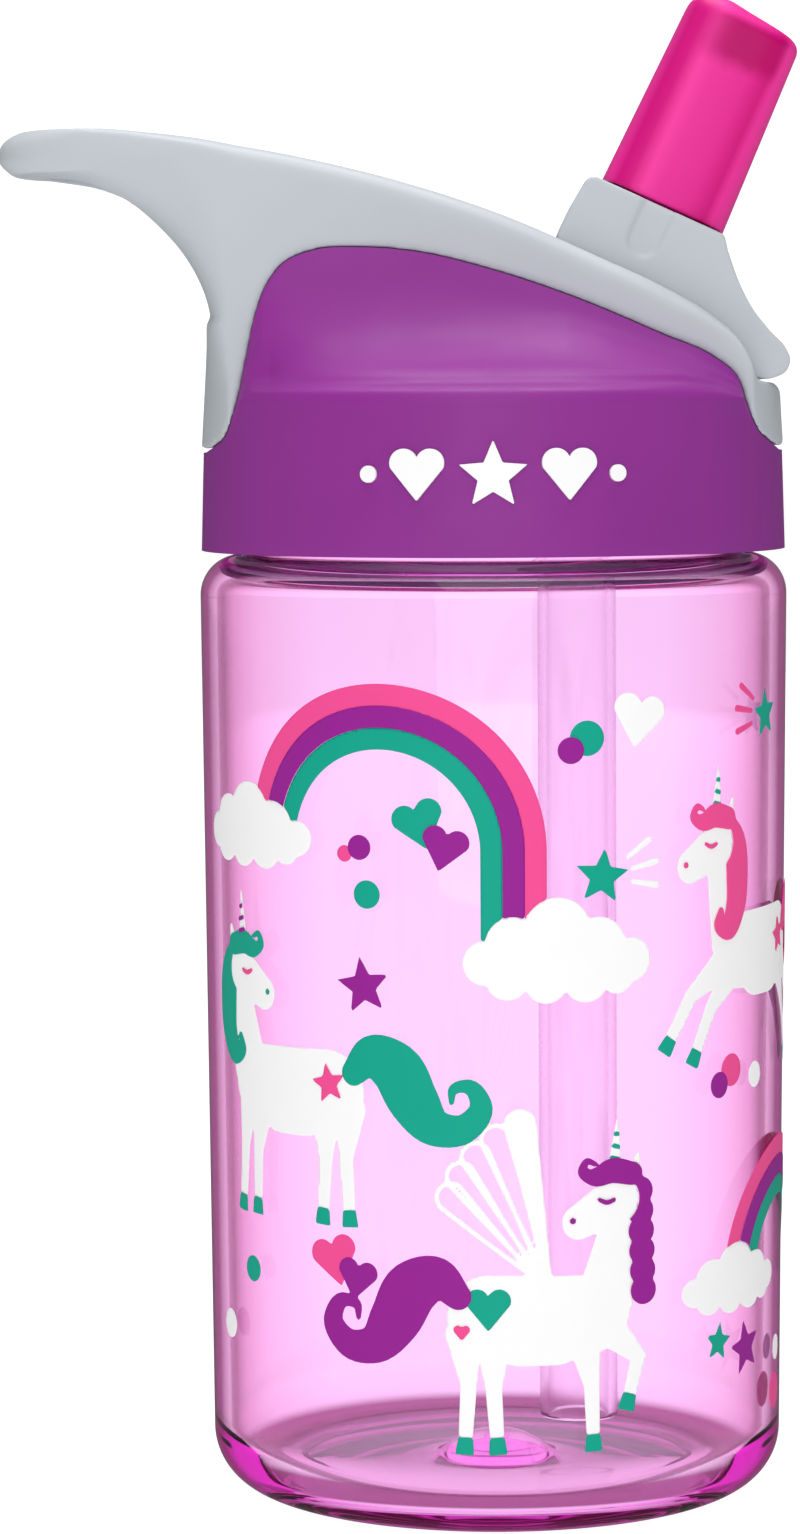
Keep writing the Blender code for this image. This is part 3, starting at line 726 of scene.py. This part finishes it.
def spout_arm(material):
    corner_round = 1.3
    front_corner = spout_point(COLLAR_TOP, 7.9)
    rear_round = spout_point(COLLAR_TOP - corner_round, -9.0)
    hub = arc((PIVOT.x, PIVOT.z), HUB_RADIUS, 140, 315, 40)
    outline = hub + smooth(ARM_FRONT, 8)
    outline += [(front_corner.x, front_corner.z)]
    outline += arc((rear_round.x, rear_round.z), corner_round, LEAN_DEGREES, LEAN_DEGREES + 90, 12)
    outline += smooth(ARM_REAR, 8)
    arm = prism("swivel_arm", outline, -ARM_HALF, ARM_HALF)
    bevelled(arm, width=1.8, segments=5, angle=70)
    trunnions = cross_rod("trunnions", TRUNNION_REACH, TRUNNION_RADIUS)
    stem = spout_rod("stem", 14.0, 32.0, VALVE_CENTRE, 4.5)
    socket_ends = (COLLAR_TOP - 3.2, COLLAR_TOP + 6.0)
    socket = lofted("socket", [rounded_section(along, 6.6, 8.3) for along in socket_ends])
    passage = spout_rod("passage", -9.0, 36.0, 0.0, PASSAGE_RADIUS)
    combine(arm, "UNION", [trunnions])
    combine(arm, "DIFFERENCE", [socket, collar_pocket("pocket_left", 1), collar_pocket("pocket_right", -1)])
    combine(arm, "UNION", [stem])
    combine(arm, "DIFFERENCE", [passage])
    placed(moulded(arm, voxel=0.3, passes=5), material, "spout", "grey_plastic", "spout_arm")


def collar_pocket(name, side):
    """A shallow round-ended pocket in one side of the collar, open at its top."""
    low = spout_point(14.6, -0.8)
    high = [spout_point(COLLAR_TOP + 2.0, across) for across in (1.3, -2.9)]
    outline = arc((low.x, low.z), 2.1, LEAN_DEGREES + 90, LEAN_DEGREES + 270, 24)
    outline += [(point.x, point.z) for point in high]
    return prism(name, outline, *sorted((side * (ARM_HALF - 0.45), side * (ARM_HALF + 1.0))))


def bite_valve(material):
    """The mouthpiece: a foot in the collar's socket, a body that widens across the view and narrows along
    it, and a rounded tip that slants back."""
    foot, low, high = (6.3, 8.0), (8.15, 9.5), (7.4, 9.95)
    tip_round, slant = 2.6, 0.75
    sections = [(COLLAR_TOP - 2.7, *foot), (COLLAR_TOP + 0.25, *foot), (COLLAR_TOP + 0.3, *low)]
    for i in range(1, 13):
        share = i / 12
        along = COLLAR_TOP + 0.3 + (VALVE_TIP - 2.9 - COLLAR_TOP) * share
        sections.append((along, low[0] - 0.75 * share, low[1] + 0.45 * share))
    for i in range(1, 8):
        turn = math.radians(90 * i / 7)
        draw_in = tip_round * (1 - math.cos(turn))
        along = VALVE_TIP - tip_round + tip_round * math.sin(turn)
        sections.append((along, high[0] - draw_in, high[1] - draw_in, slant * i / 7))
    valve = lofted("mouthpiece", [rounded_section(*section) for section in sections])
    hollow = [rounded_section(22.5, 5.9, 7.3), rounded_section(VALVE_TIP - 2.4, 5.2, 7.7)]
    corners = ((-0.2, -4.5), (0.2, -4.5), (0.2, 4.5), (-0.2, 4.5))
    slit = [
        [spout_point(along, VALVE_CENTRE + across, y) for across, y in corners]
        for along in (VALVE_TIP - 5.0, VALVE_TIP + 2.0)
    ]
    combine(
        valve,
        "DIFFERENCE",
        [
            spout_rod("stem_room", 12.0, 24.0, VALVE_CENTRE, 4.8),
            lofted("hollow", hollow),
            lofted("slit", slit),
        ],
    )
    placed(moulded(valve, voxel=0.25, passes=3), material, "spout", "pink_silicone", "bite_valve")


# ---------------- print


class Canvas:
    """A flat drawing on a grid, in millimetres: u goes round the surface from its front, to the right,
    and z goes up. A shape is an array that is below 0 inside it."""

    def __init__(self, u_low, u_high, z_low, z_high, pitch):
        self.us = np.arange(u_low, u_high + pitch, pitch)
        self.zs = np.arange(z_low, z_high + pitch, pitch)
        self.u, self.z = np.meshgrid(self.us, self.zs, indexing="ij")

    def disc(self, u, z, radius, squash=1.0):
        return np.hypot(self.u - u, (self.z - z) / squash) - radius

    def limb(self, start, r_start, end, r_end):
        """A rounded bar that tapers from one radius to another."""
        du, dz = end[0] - start[0], end[1] - start[1]
        share = ((self.u - start[0]) * du + (self.z - start[1]) * dz) / (du * du + dz * dz)
        share = np.clip(share, 0.0, 1.0)
        away = np.hypot(self.u - start[0] - share * du, self.z - start[1] - share * dz)
        return away - (r_start + (r_end - r_start) * share)

    def bar(self, start, r_start, end, r_end):
        """A tapered bar with square ends."""
        du, dz = end[0] - start[0], end[1] - start[1]
        length = math.hypot(du, dz)
        along = ((self.u - start[0]) * du + (self.z - start[1]) * dz) / length
        across = np.abs((self.u - start[0]) * dz - (self.z - start[1]) * du) / length
        half = r_start + (r_end - r_start) * np.clip(along / length, 0.0, 1.0)
        return np.maximum(across - half, np.maximum(-along, along - length))

    def stroke(self, points):
        """A brush stroke through (u, z, radius) points."""
        path = smooth(points, 6)
        limbs = [self.limb(a[:2], a[2], b[:2], b[2]) for a, b in zip(path, path[1:])]
        return np.minimum.reduce(limbs)

    def star(self, u, z, radius, turn=0.0):
        """A five-pointed star; depth is the share of its radius where its inner corners lie."""
        depth = 0.45
        du, dz = self.u - u, self.z - z
        sector = 2 * math.pi / 5
        angle = np.mod(np.arctan2(du, dz) + math.radians(turn), sector)
        angle = np.minimum(angle, sector - angle)
        away = np.hypot(du, dz)
        along, across = away * np.cos(angle), away * np.sin(angle)
        inner_u = radius * depth * math.cos(sector / 2)
        inner_z = radius * depth * math.sin(sector / 2)
        edge = math.hypot(radius - inner_u, inner_z)
        return ((along - radius) * inner_z + across * (radius - inner_u)) / edge

    def heart(self, u, z, size, turn=0.0):
        c, s = math.cos(math.radians(turn)), math.sin(math.radians(turn))

        def point(x, y):
            return (u + size * (x * c - y * s), z + size * (x * s + y * c))

        sides = [
            self.limb(point(side * 0.245, 0.2), size * 0.26, point(0.0, -0.46), size * 0.015)
            for side in (-1, 1)
        ]
        return np.minimum(*sides)

    def band(self, u, z, inner, outer, foot_left, foot_right):
        """An arch of a rainbow, with straight legs down to the heights of its feet."""
        du = self.u - u
        dz = np.maximum(self.z - z, 0.0)
        away = np.hypot(du, dz)
        arch = np.maximum(away - outer, inner - away)
        foot = np.where(du < 0.0, foot_left, foot_right)
        return np.maximum(arch, foot - self.z)


def union(*shapes):
    return np.minimum.reduce(shapes)


def minus(shape, *others):
    """A shape with the others cut out of it."""
    return np.maximum(shape, -union(*others))


def outlined(shape, width):
    """Only a line of this width along the inside of a shape's edge."""
    return np.maximum(shape, -(shape + width))


def skin(name, canvas, shape, surface, lift, thickness):
    """A thin skin on a surface wherever the shape is below 0, cut to its outline between grid points."""
    bm = bmesh.new()
    made = {}
    pitch_u = canvas.us[1] - canvas.us[0]
    pitch_z = canvas.zs[1] - canvas.zs[0]

    def vertex(key, u, z):
        if key not in made:
            made[key] = bm.verts.new(surface(u, z, lift))
        return made[key]

    def crossing(a, b):
        low, high = min(a, b), max(a, b)
        share = shape[low] / (shape[low] - shape[high])
        u = canvas.us[low[0]] + share * (high[0] - low[0]) * pitch_u
        z = canvas.zs[low[1]] + share * (high[1] - low[1]) * pitch_z
        return vertex((*low, 1 + high[1] - low[1]), u, z)

    inside = shape < 0.0
    touched = inside[:-1, :-1] | inside[1:, :-1] | inside[:-1, 1:] | inside[1:, 1:]
    for i, j in np.argwhere(touched).tolist():
        loop = []
        around = ((i, j), (i + 1, j), (i + 1, j + 1), (i, j + 1))
        for a, b in zip(around, around[1:] + around[:1]):
            if inside[a]:
                loop.append(vertex((*a, 0), canvas.us[a[0]], canvas.zs[a[1]]))
            if inside[a] != inside[b]:
                loop.append(crossing(a, b))
        if len(loop) > 2:
            bm.faces.new(loop)
    obj = add_object(name, bm)
    thick = obj.modifiers.new("ink", "SOLIDIFY")
    thick.thickness = thickness * MM
    thick.offset = 1.0
    return settled(obj)


def wrapped(radius_at, true_z):
    """The place on a round wall for a canvas point, drawn to size at the height true_z."""

    def surface(u, z, lift):
        radius = radius_at(z) + lift
        angle = u / radius_at(true_z)
        return Vector((radius * math.sin(angle), -radius * math.cos(angle), z)) * MM

    return surface


def pony(canvas, inks, u, z, size, facing, look, mane, legs, badge, winged=False):
    """A plain pony drawn about the middle of its body, as limbs, bars and strokes. Its chest points to the
    facing side, and its head looks that way when look is 1 and back over its shoulder when it is -1."""

    def at(x, y, *radius):
        return (u + facing * size * x, z + size * y, *[size * r for r in radius])

    def by_head(x, y, *radius):
        return at(9.4 + look * x, y, *radius)

    def limb(x1, y1, r1, x2, y2, r2, place=at, shape=canvas.limb):
        return shape(place(x1, y1), size * r1, place(x2, y2), size * r2)

    muzzle = limb(0.6, 13.8, 3.0, 5.4, 11.3, 2.1, by_head)
    parts = [
        limb(-6.8, 0.0, 5.2, 5.8, 0.2, 4.7),
        limb(-3.0, -0.9, 4.9, 1.0, -0.9, 4.9),
        limb(7.4, 2.0, 3.7, 9.5, 11.5, 2.5),
        muzzle,
        limb(-1.6, 16.2, 1.0, -2.3, 19.0, 0.3, by_head),
    ]
    hooves = []
    for x1, y1, x2, y2, x3, y3 in legs:
        parts.append(limb(x1, y1, 2.2, x2, y2, 1.0))
        parts.append(limb(x2, y2, 1.0, x3, y3, 0.85, at, canvas.bar))
        length = math.hypot(x3 - x2, y3 - y2)
        dx, dy = (x3 - x2) / length, (y3 - y2) / length
        hooves.append(limb(x3, y3, 0.9, x3 + 2.1 * dx, y3 + 2.1 * dy, 1.15, at, canvas.bar))
    white = union(*parts)
    if winged:
        for i in range(5):
            angle = math.radians(136 - 10 * i)
            reach = 14.2 + 1.1 * i
            tip_x, tip_y = -1.2 + reach * math.cos(angle), 4.6 + reach * math.sin(angle)
            feather = limb(-1.2 + 0.4 * i, 4.6, 0.25, tip_x, tip_y, 2.0)
            white = union(white, feather if i == 4 else outlined(feather, 0.55 * size))
    hooves = union(*hooves)
    tail = canvas.stroke(
        [
            at(-10.6, 2.6, 1.6), at(-13.2, 4.8, 2.5), at(-16.2, 3.4, 3.3), at(-18.4, -0.4, 3.2),
            at(-21.0, -3.6, 2.3), at(-24.6, -3.8, 1.8), at(-26.8, -1.2, 1.4), at(-25.4, 1.4, 0.9),
            at(-23.4, 1.0, 0.6), at(-23.2, -0.6, 0.3),
        ]
    )
    if winged:
        curls = [by_head(-2.5 - 0.1 * i, 14.6 - 2.4 * i) for i in range(6)]
        hair = union(*[canvas.disc(*curl, size * 1.75) for curl in curls])
    else:
        hair = canvas.stroke(
            [
                by_head(-0.8, 16.2, 1.6), by_head(-2.8, 13.6, 2.2), by_head(-3.4, 9.4, 2.3),
                by_head(-3.0, 5.6, 2.0), by_head(-1.4, 3.2, 1.5), by_head(0.4, 3.8, 0.9),
                by_head(0.0, 5.4, 0.5),
            ]
        )
    forelock = canvas.stroke(
        [
            by_head(-1.4, 16.8, 1.4), by_head(1.2, 17.3, 1.5), by_head(3.6, 16.6, 1.0),
            by_head(5.0, 17.4, 0.6), by_head(4.4, 18.6, 0.4), by_head(3.4, 18.2, 0.3),
        ]
    )
    horn = limb(0.9, 17.2, 0.95, 0.5, 23.6, 0.1, by_head)
    heights = [1.5 * k for k in range(3)]
    stripes = [limb(-0.6, 18.4 + up, 0.28, 2.0, 19.0 + up, 0.28, by_head) for up in heights]
    eye = canvas.stroke([by_head(0.9, 13.8, 0.24), by_head(1.9, 13.5, 0.28), by_head(2.9, 13.9, 0.24)])
    nostril = canvas.disc(*by_head(6.2, 11.5), size * 0.4)
    second = "purple" if mane == "teal" else "teal"
    inks["white"].append(minus(union(white, horn), hooves))
    inks["teal"].append(hooves)
    inks[mane].append(union(tail, minus(hair, muzzle), forelock, nostril))
    inks[second].append(np.maximum(horn - 0.02, union(*stripes)))
    inks["purple" if mane == "purple" else "pink"].append(eye)
    badge_u, badge_z = at(-7.0, 1.0)
    if badge == "star":
        inks["pink"].append(canvas.star(badge_u, badge_z, size * 2.6, 10))
    else:
        inks["teal"].append(canvas.heart(badge_u, badge_z, size * 5.4))
        inks["pink"].append(canvas.heart(*at(-10.2, -1.8), size * 2.0))


# Each leg's hip, knee and hoof, as x, y, x, y, x, y from the middle of the pony's body.
STANDING = (
    (-10.0, -2.0, -9.4, -8.0, -9.8, -14.4),
    (-6.4, -3.0, -6.4, -8.4, -6.0, -14.4),
    (4.6, -2.6, 5.6, -8.4, 5.8, -14.4),
    (7.6, -1.6, 8.6, -8.0, 9.2, -14.4),
)
PRANCING = STANDING[:3] + ((7.6, -1.6, 11.8, -5.4, 10.6, -9.8),)
LEAPING = (
    (-9.6, -1.5, -14.0, -6.0, -18.0, -11.0),
    (-7.0, -2.4, -10.6, -8.2, -13.6, -13.6),
    (6.4, -1.6, 11.0, -6.2, 13.6, -11.4),
    (8.6, -0.8, 14.6, -4.6, 17.8, -9.6),
)


def cloud(canvas, u, z, width, height):
    """A row of round puffs over a row of smaller ones."""
    height_with_circles = 0.57 * width
    squash = height / height_with_circles
    puffs = ((-0.40, -0.01, 0.12), (-0.25, 0.09, 0.15), (-0.01, 0.15, 0.19), (0.22, 0.07, 0.16))
    puffs += ((0.41, -0.01, 0.12), (-0.28, -0.09, 0.12), (-0.07, -0.11, 0.12))
    puffs += ((0.15, -0.10, 0.13), (0.33, -0.09, 0.1), (0.0, 0.0, 0.14))
    return union(
        *[canvas.disc(u + x * width, z + y * width * squash, r * width, squash) for x, y, r in puffs]
    )


def rainbow(canvas, inks, u, z, outer, width, feet, clouds):
    """Three bands of one width, and the clouds that their feet stand in."""
    for i, name in enumerate(("pink", "purple", "teal")):
        edge = outer - i * width
        inks[name].append(minus(canvas.band(u, z, edge - width, edge, *feet), *clouds))
    inks["white"].extend(clouds)


def artwork():
    """The print round the front of the bottle: rainbows, clouds, ponies, hearts, stars and dots."""
    canvas = Canvas(-56.5, 72.0, 8.0, 108.0, 0.33)
    inks = {"white": [], "teal": [], "pink": [], "purple": []}
    left, right = cloud(canvas, -34.4, 84.2, 20.8, 10.4), cloud(canvas, 7.6, 70.1, 22.0, 12.6)
    rainbow(canvas, inks, -13.8, 83.0, 19.9, 2.6, (83.0, 71.0), (left, right))
    low = cloud(canvas, 34.6, 28.8, 20.0, 8.6)
    rainbow(canvas, inks, 48.2, 28.5, 16.8, 2.5, (28.5, 26.0), (low,))

    pony(canvas, inks, -28.0, 53.8, 0.98, -1, -1, "teal", STANDING, "star")
    pony(canvas, inks, 39.8, 69.4, 0.98, -1, 1, "pink", LEAPING, "star")
    pony(canvas, inks, 6.0, 27.4, 1.0, 1, -1, "purple", PRANCING, "heart", winged=True)

    for name, u, z, size, turn in (
        ("teal", -8.9, 86.2, 6.2, 18), ("purple", -6.0, 83.4, 5.6, -14),
        ("white", 17.6, 98.3, 6.8, -10), ("pink", -20.4, 33.4, 6.4, 16),
        ("purple", -17.4, 31.4, 5.2, -10),
    ):
        inks[name].append(canvas.heart(u, z, size, turn))
    for name, u, z, radius in (
        ("pink", -18.5, 82.6, 1.0), ("purple", -16.5, 83.4, 1.5), ("teal", -15.6, 77.8, 1.7),
        ("teal", 11.0, 96.4, 2.1), ("purple", 9.0, 95.0, 1.6), ("teal", -35.0, 30.7, 1.6),
        ("white", -41.6, 22.9, 1.8), ("pink", 32.8, 55.2, 2.0), ("purple", 30.4, 53.6, 1.6),
        ("white", 38.6, 54.0, 1.6), ("pink", 46.6, 13.4, 2.2), ("white", 47.8, 18.6, 1.6),
    ):
        inks[name].append(canvas.disc(u, z, radius))
    for name, u, z, radius, turn in (
        ("purple", -16.1, 66.8, 3.6, 8), ("teal", 12.9, 79.9, 3.5, -6), ("teal", 40.8, 98.0, 3.2, 5),
        ("teal", 30.6, 22.1, 2.5, -8), ("purple", 36.4, 20.6, 3.5, 10),
    ):
        inks[name].append(canvas.star(u, z, radius, turn))
    for name, u, z, first in (("white", 12.9, 79.9, -10), ("pink", 40.8, 98.0, 150)):
        for k in range(3):
            angle = math.radians(first + 22 * k)
            start, end = [(u + r * math.cos(angle), z + r * math.sin(angle)) for r in (4.0, 7.4)]
            inks[name].append(canvas.limb(start, 0.28, end, 0.42))

    colours = {
        "white": (0.99, 0.98, 0.99),
        "teal": (0.0, 0.39, 0.27),
        "pink": (0.92, 0.075, 0.31),
        "purple": (0.32, 0.011, 0.30),
    }
    lowest, layer_step, thickness = 0.03, 0.05, 0.035
    on_bottle = wrapped(wall_radius, 60.0)
    for layer, (name, shapes) in enumerate(inks.items()):
        lift = lowest + layer_step * layer
        print_skin = skin("print_" + name, canvas, union(*shapes), on_bottle, lift, thickness)
        placed(print_skin, ink("ink_" + name, colours[name]), "bottle", "print_" + name)


def emblem():
    """Raised shapes on the front of the cap in place of a mark: a star between hearts and dots."""
    canvas = Canvas(-17.5, 17.5, 121.5, 131.5, 0.16)
    middle = 127.6
    shapes = [canvas.star(0.0, middle - 0.2, 4.2)]
    shapes += [canvas.disc(side * 15.0, middle, 1.0) for side in (-1, 1)]
    shapes += [canvas.heart(side * 9.0, middle, 6.5) for side in (-1, 1)]
    on_sleeve = wrapped(sleeve_radius, 127.0)
    raised = skin("cap_emblem", canvas, union(*shapes), on_sleeve, -0.05, 0.6)
    placed(raised, ink("emblem_white", (0.95, 0.95, 0.95)), "cap", "print_white")


# ---------------- pieces kept from the frame


def finish_kept_nodes(grey, white):
    """Gives the pieces inside the cap, which stay as the frame has them, their materials."""
    for name in ("inner_cap", "neck_gasket", "port_seal", "vent_valve"):
        node = frame["nodes"][name]
        material = grey if name == "inner_cap" else white
        node.data.materials.clear()
        node.data.materials.append(material)


# ---------------- studio


def studio():
    """A plain pale floor and a white world to look at, with soft light from large boxes in front, behind
    and above, and enough bounces for light that runs along inside the clear wall."""
    scene = bpy.context.scene
    scene.view_settings.view_transform = "Standard"
    bounces = 48
    scene.cycles.max_bounces = bounces
    scene.cycles.glossy_bounces = bounces
    scene.cycles.transmission_bounces = bounces
    world = bpy.data.worlds.new("studio")
    world.use_nodes = True
    scene.world = world
    tree = world.node_tree
    background = tree.nodes["Background"]
    background.inputs["Color"].default_value = (1.0, 1.0, 1.0, 1.0)
    path = tree.nodes.new("ShaderNodeLightPath")
    seen = tree.nodes.new("ShaderNodeMath")
    seen.operation = "MAXIMUM"
    tree.links.new(path.outputs["Is Camera Ray"], seen.inputs[0])
    tree.links.new(path.outputs["Is Transmission Ray"], seen.inputs[1])
    strength = tree.nodes.new("ShaderNodeMapRange")
    strength.inputs["To Min"].default_value = 0.12
    strength.inputs["To Max"].default_value = 1.16
    tree.links.new(seen.outputs[0], strength.inputs["Value"])
    tree.links.new(strength.outputs["Result"], background.inputs["Strength"])

    bm = bmesh.new()
    bmesh.ops.create_circle(bm, cap_ends=True, radius=8.0, segments=128)
    floor = add_object("floor", bm)
    floor.location.z = -0.0002
    paper = Nodes("paper")
    paper.set(Base_Color=(0.16, 0.16, 0.16), Roughness=1.0, Specular_IOR_Level=0.0)
    paper.set(Emission_Color=(1.0, 1.0, 1.0), Emission_Strength=0.98)
    floor.data.materials.append(paper.material)
    floor.visible_glossy = False

    for name, place, size, power, mirrored in (
        ("front", (-0.1, -1.6, 0.45), 1.1, 8.8, True),
        ("high front", (0.0, -0.75, 1.2), 0.8, 4.8, True),
        ("back", (0.2, 1.6, 0.6), 1.1, 9.5, False),
        ("top", (0.0, 0.15, 1.4), 0.9, 16.0, True),
    ):
        light = bpy.data.lights.new(name, "AREA")
        light.shape = "SQUARE"
        light.size = size
        light.energy = power
        lamp = bpy.data.objects.new(name, light)
        lamp.location = place
        aim = Vector((0.0, 0.0, 0.1)) - lamp.location
        lamp.rotation_euler = aim.to_track_quat("-Z", "Y").to_euler()
        lamp.visible_camera = False
        lamp.visible_transmission = False
        lamp.visible_glossy = mirrored
        scene.collection.objects.link(lamp)


def camera():
    """The photographer's place: a long lens at the height of the cap, looking a little down."""
    made = bpy.data.cameras.new("camera")
    made.sensor_width = 36.0
    made.lens = 114.1
    made.clip_end = 20.0
    eye = bpy.data.objects.new("camera", made)
    bpy.context.scene.collection.objects.link(eye)
    eye.location = (-0.001, -0.607, 0.137)
    tilt_down, turn_left, roll = math.radians(4.386), math.radians(1.015), math.radians(-0.33)
    eye.rotation_mode = "QUATERNION"
    aim = Matrix.Rotation(turn_left, 4, "Z") @ Matrix.Rotation(math.radians(90) - tilt_down, 4, "X")
    eye.rotation_quaternion = (aim @ Matrix.Rotation(roll, 4, "Z")).to_quaternion()
    bpy.context.scene.camera = eye


# ---------------- the object

camera()
studio()

# Painted shade for the clear plastics' edges: each colour darkens as the surface turns away.
pink_rim = (
    (0.0, (1.0, 0.86, 1.0)),
    (0.2, (1.0, 0.86, 1.0)),
    (0.48, (0.95, 0.67, 0.84)),
    (0.66, (0.72, 0.38, 0.57)),
    (0.78, (0.17, 0.02, 0.09)),
    (1.0, (0.14, 0.01, 0.07)),
)
straw_rim = ((0.0, (1.0, 1.0, 1.0)), (0.4, (0.98, 0.94, 0.97)), (1.0, (0.6, 0.4, 0.55)))
# Painted shade for the dark low corner of the base.
pink_heel_shade = (0.18, 0.03, 0.1)
clear_pink = clear_plastic("clear_pink", (0.94, 0.0, 0.87), 55.0, 0.02, pink_rim, ior=1.38, heel=pink_heel_shade)
clear_straw = clear_plastic("clear_straw", (0.9, 0.5, 0.85), 60.0, 0.12, straw_rim, ior=1.45)
grey = satin_plastic("grey_plastic", (0.53, 0.565, 0.6), (0.505, 0.54, 0.575), 0.45, 0.3)
purple = satin_plastic("purple_plastic", (0.28, 0.03, 0.29), (0.262, 0.027, 0.272), 0.48, 0.22)
pink = mouth_silicone("pink_silicone")
white = soft_silicone("white_silicone", (0.85, 0.85, 0.85), (0.8, 0.8, 0.8), 0.5)

finish_kept_nodes(grey, white)
bottle(clear_pink)
straw(clear_straw)
sleeve(purple)
saddle(grey)
spout_arm(grey)
bite_valve(pink)
artwork()
emblem()
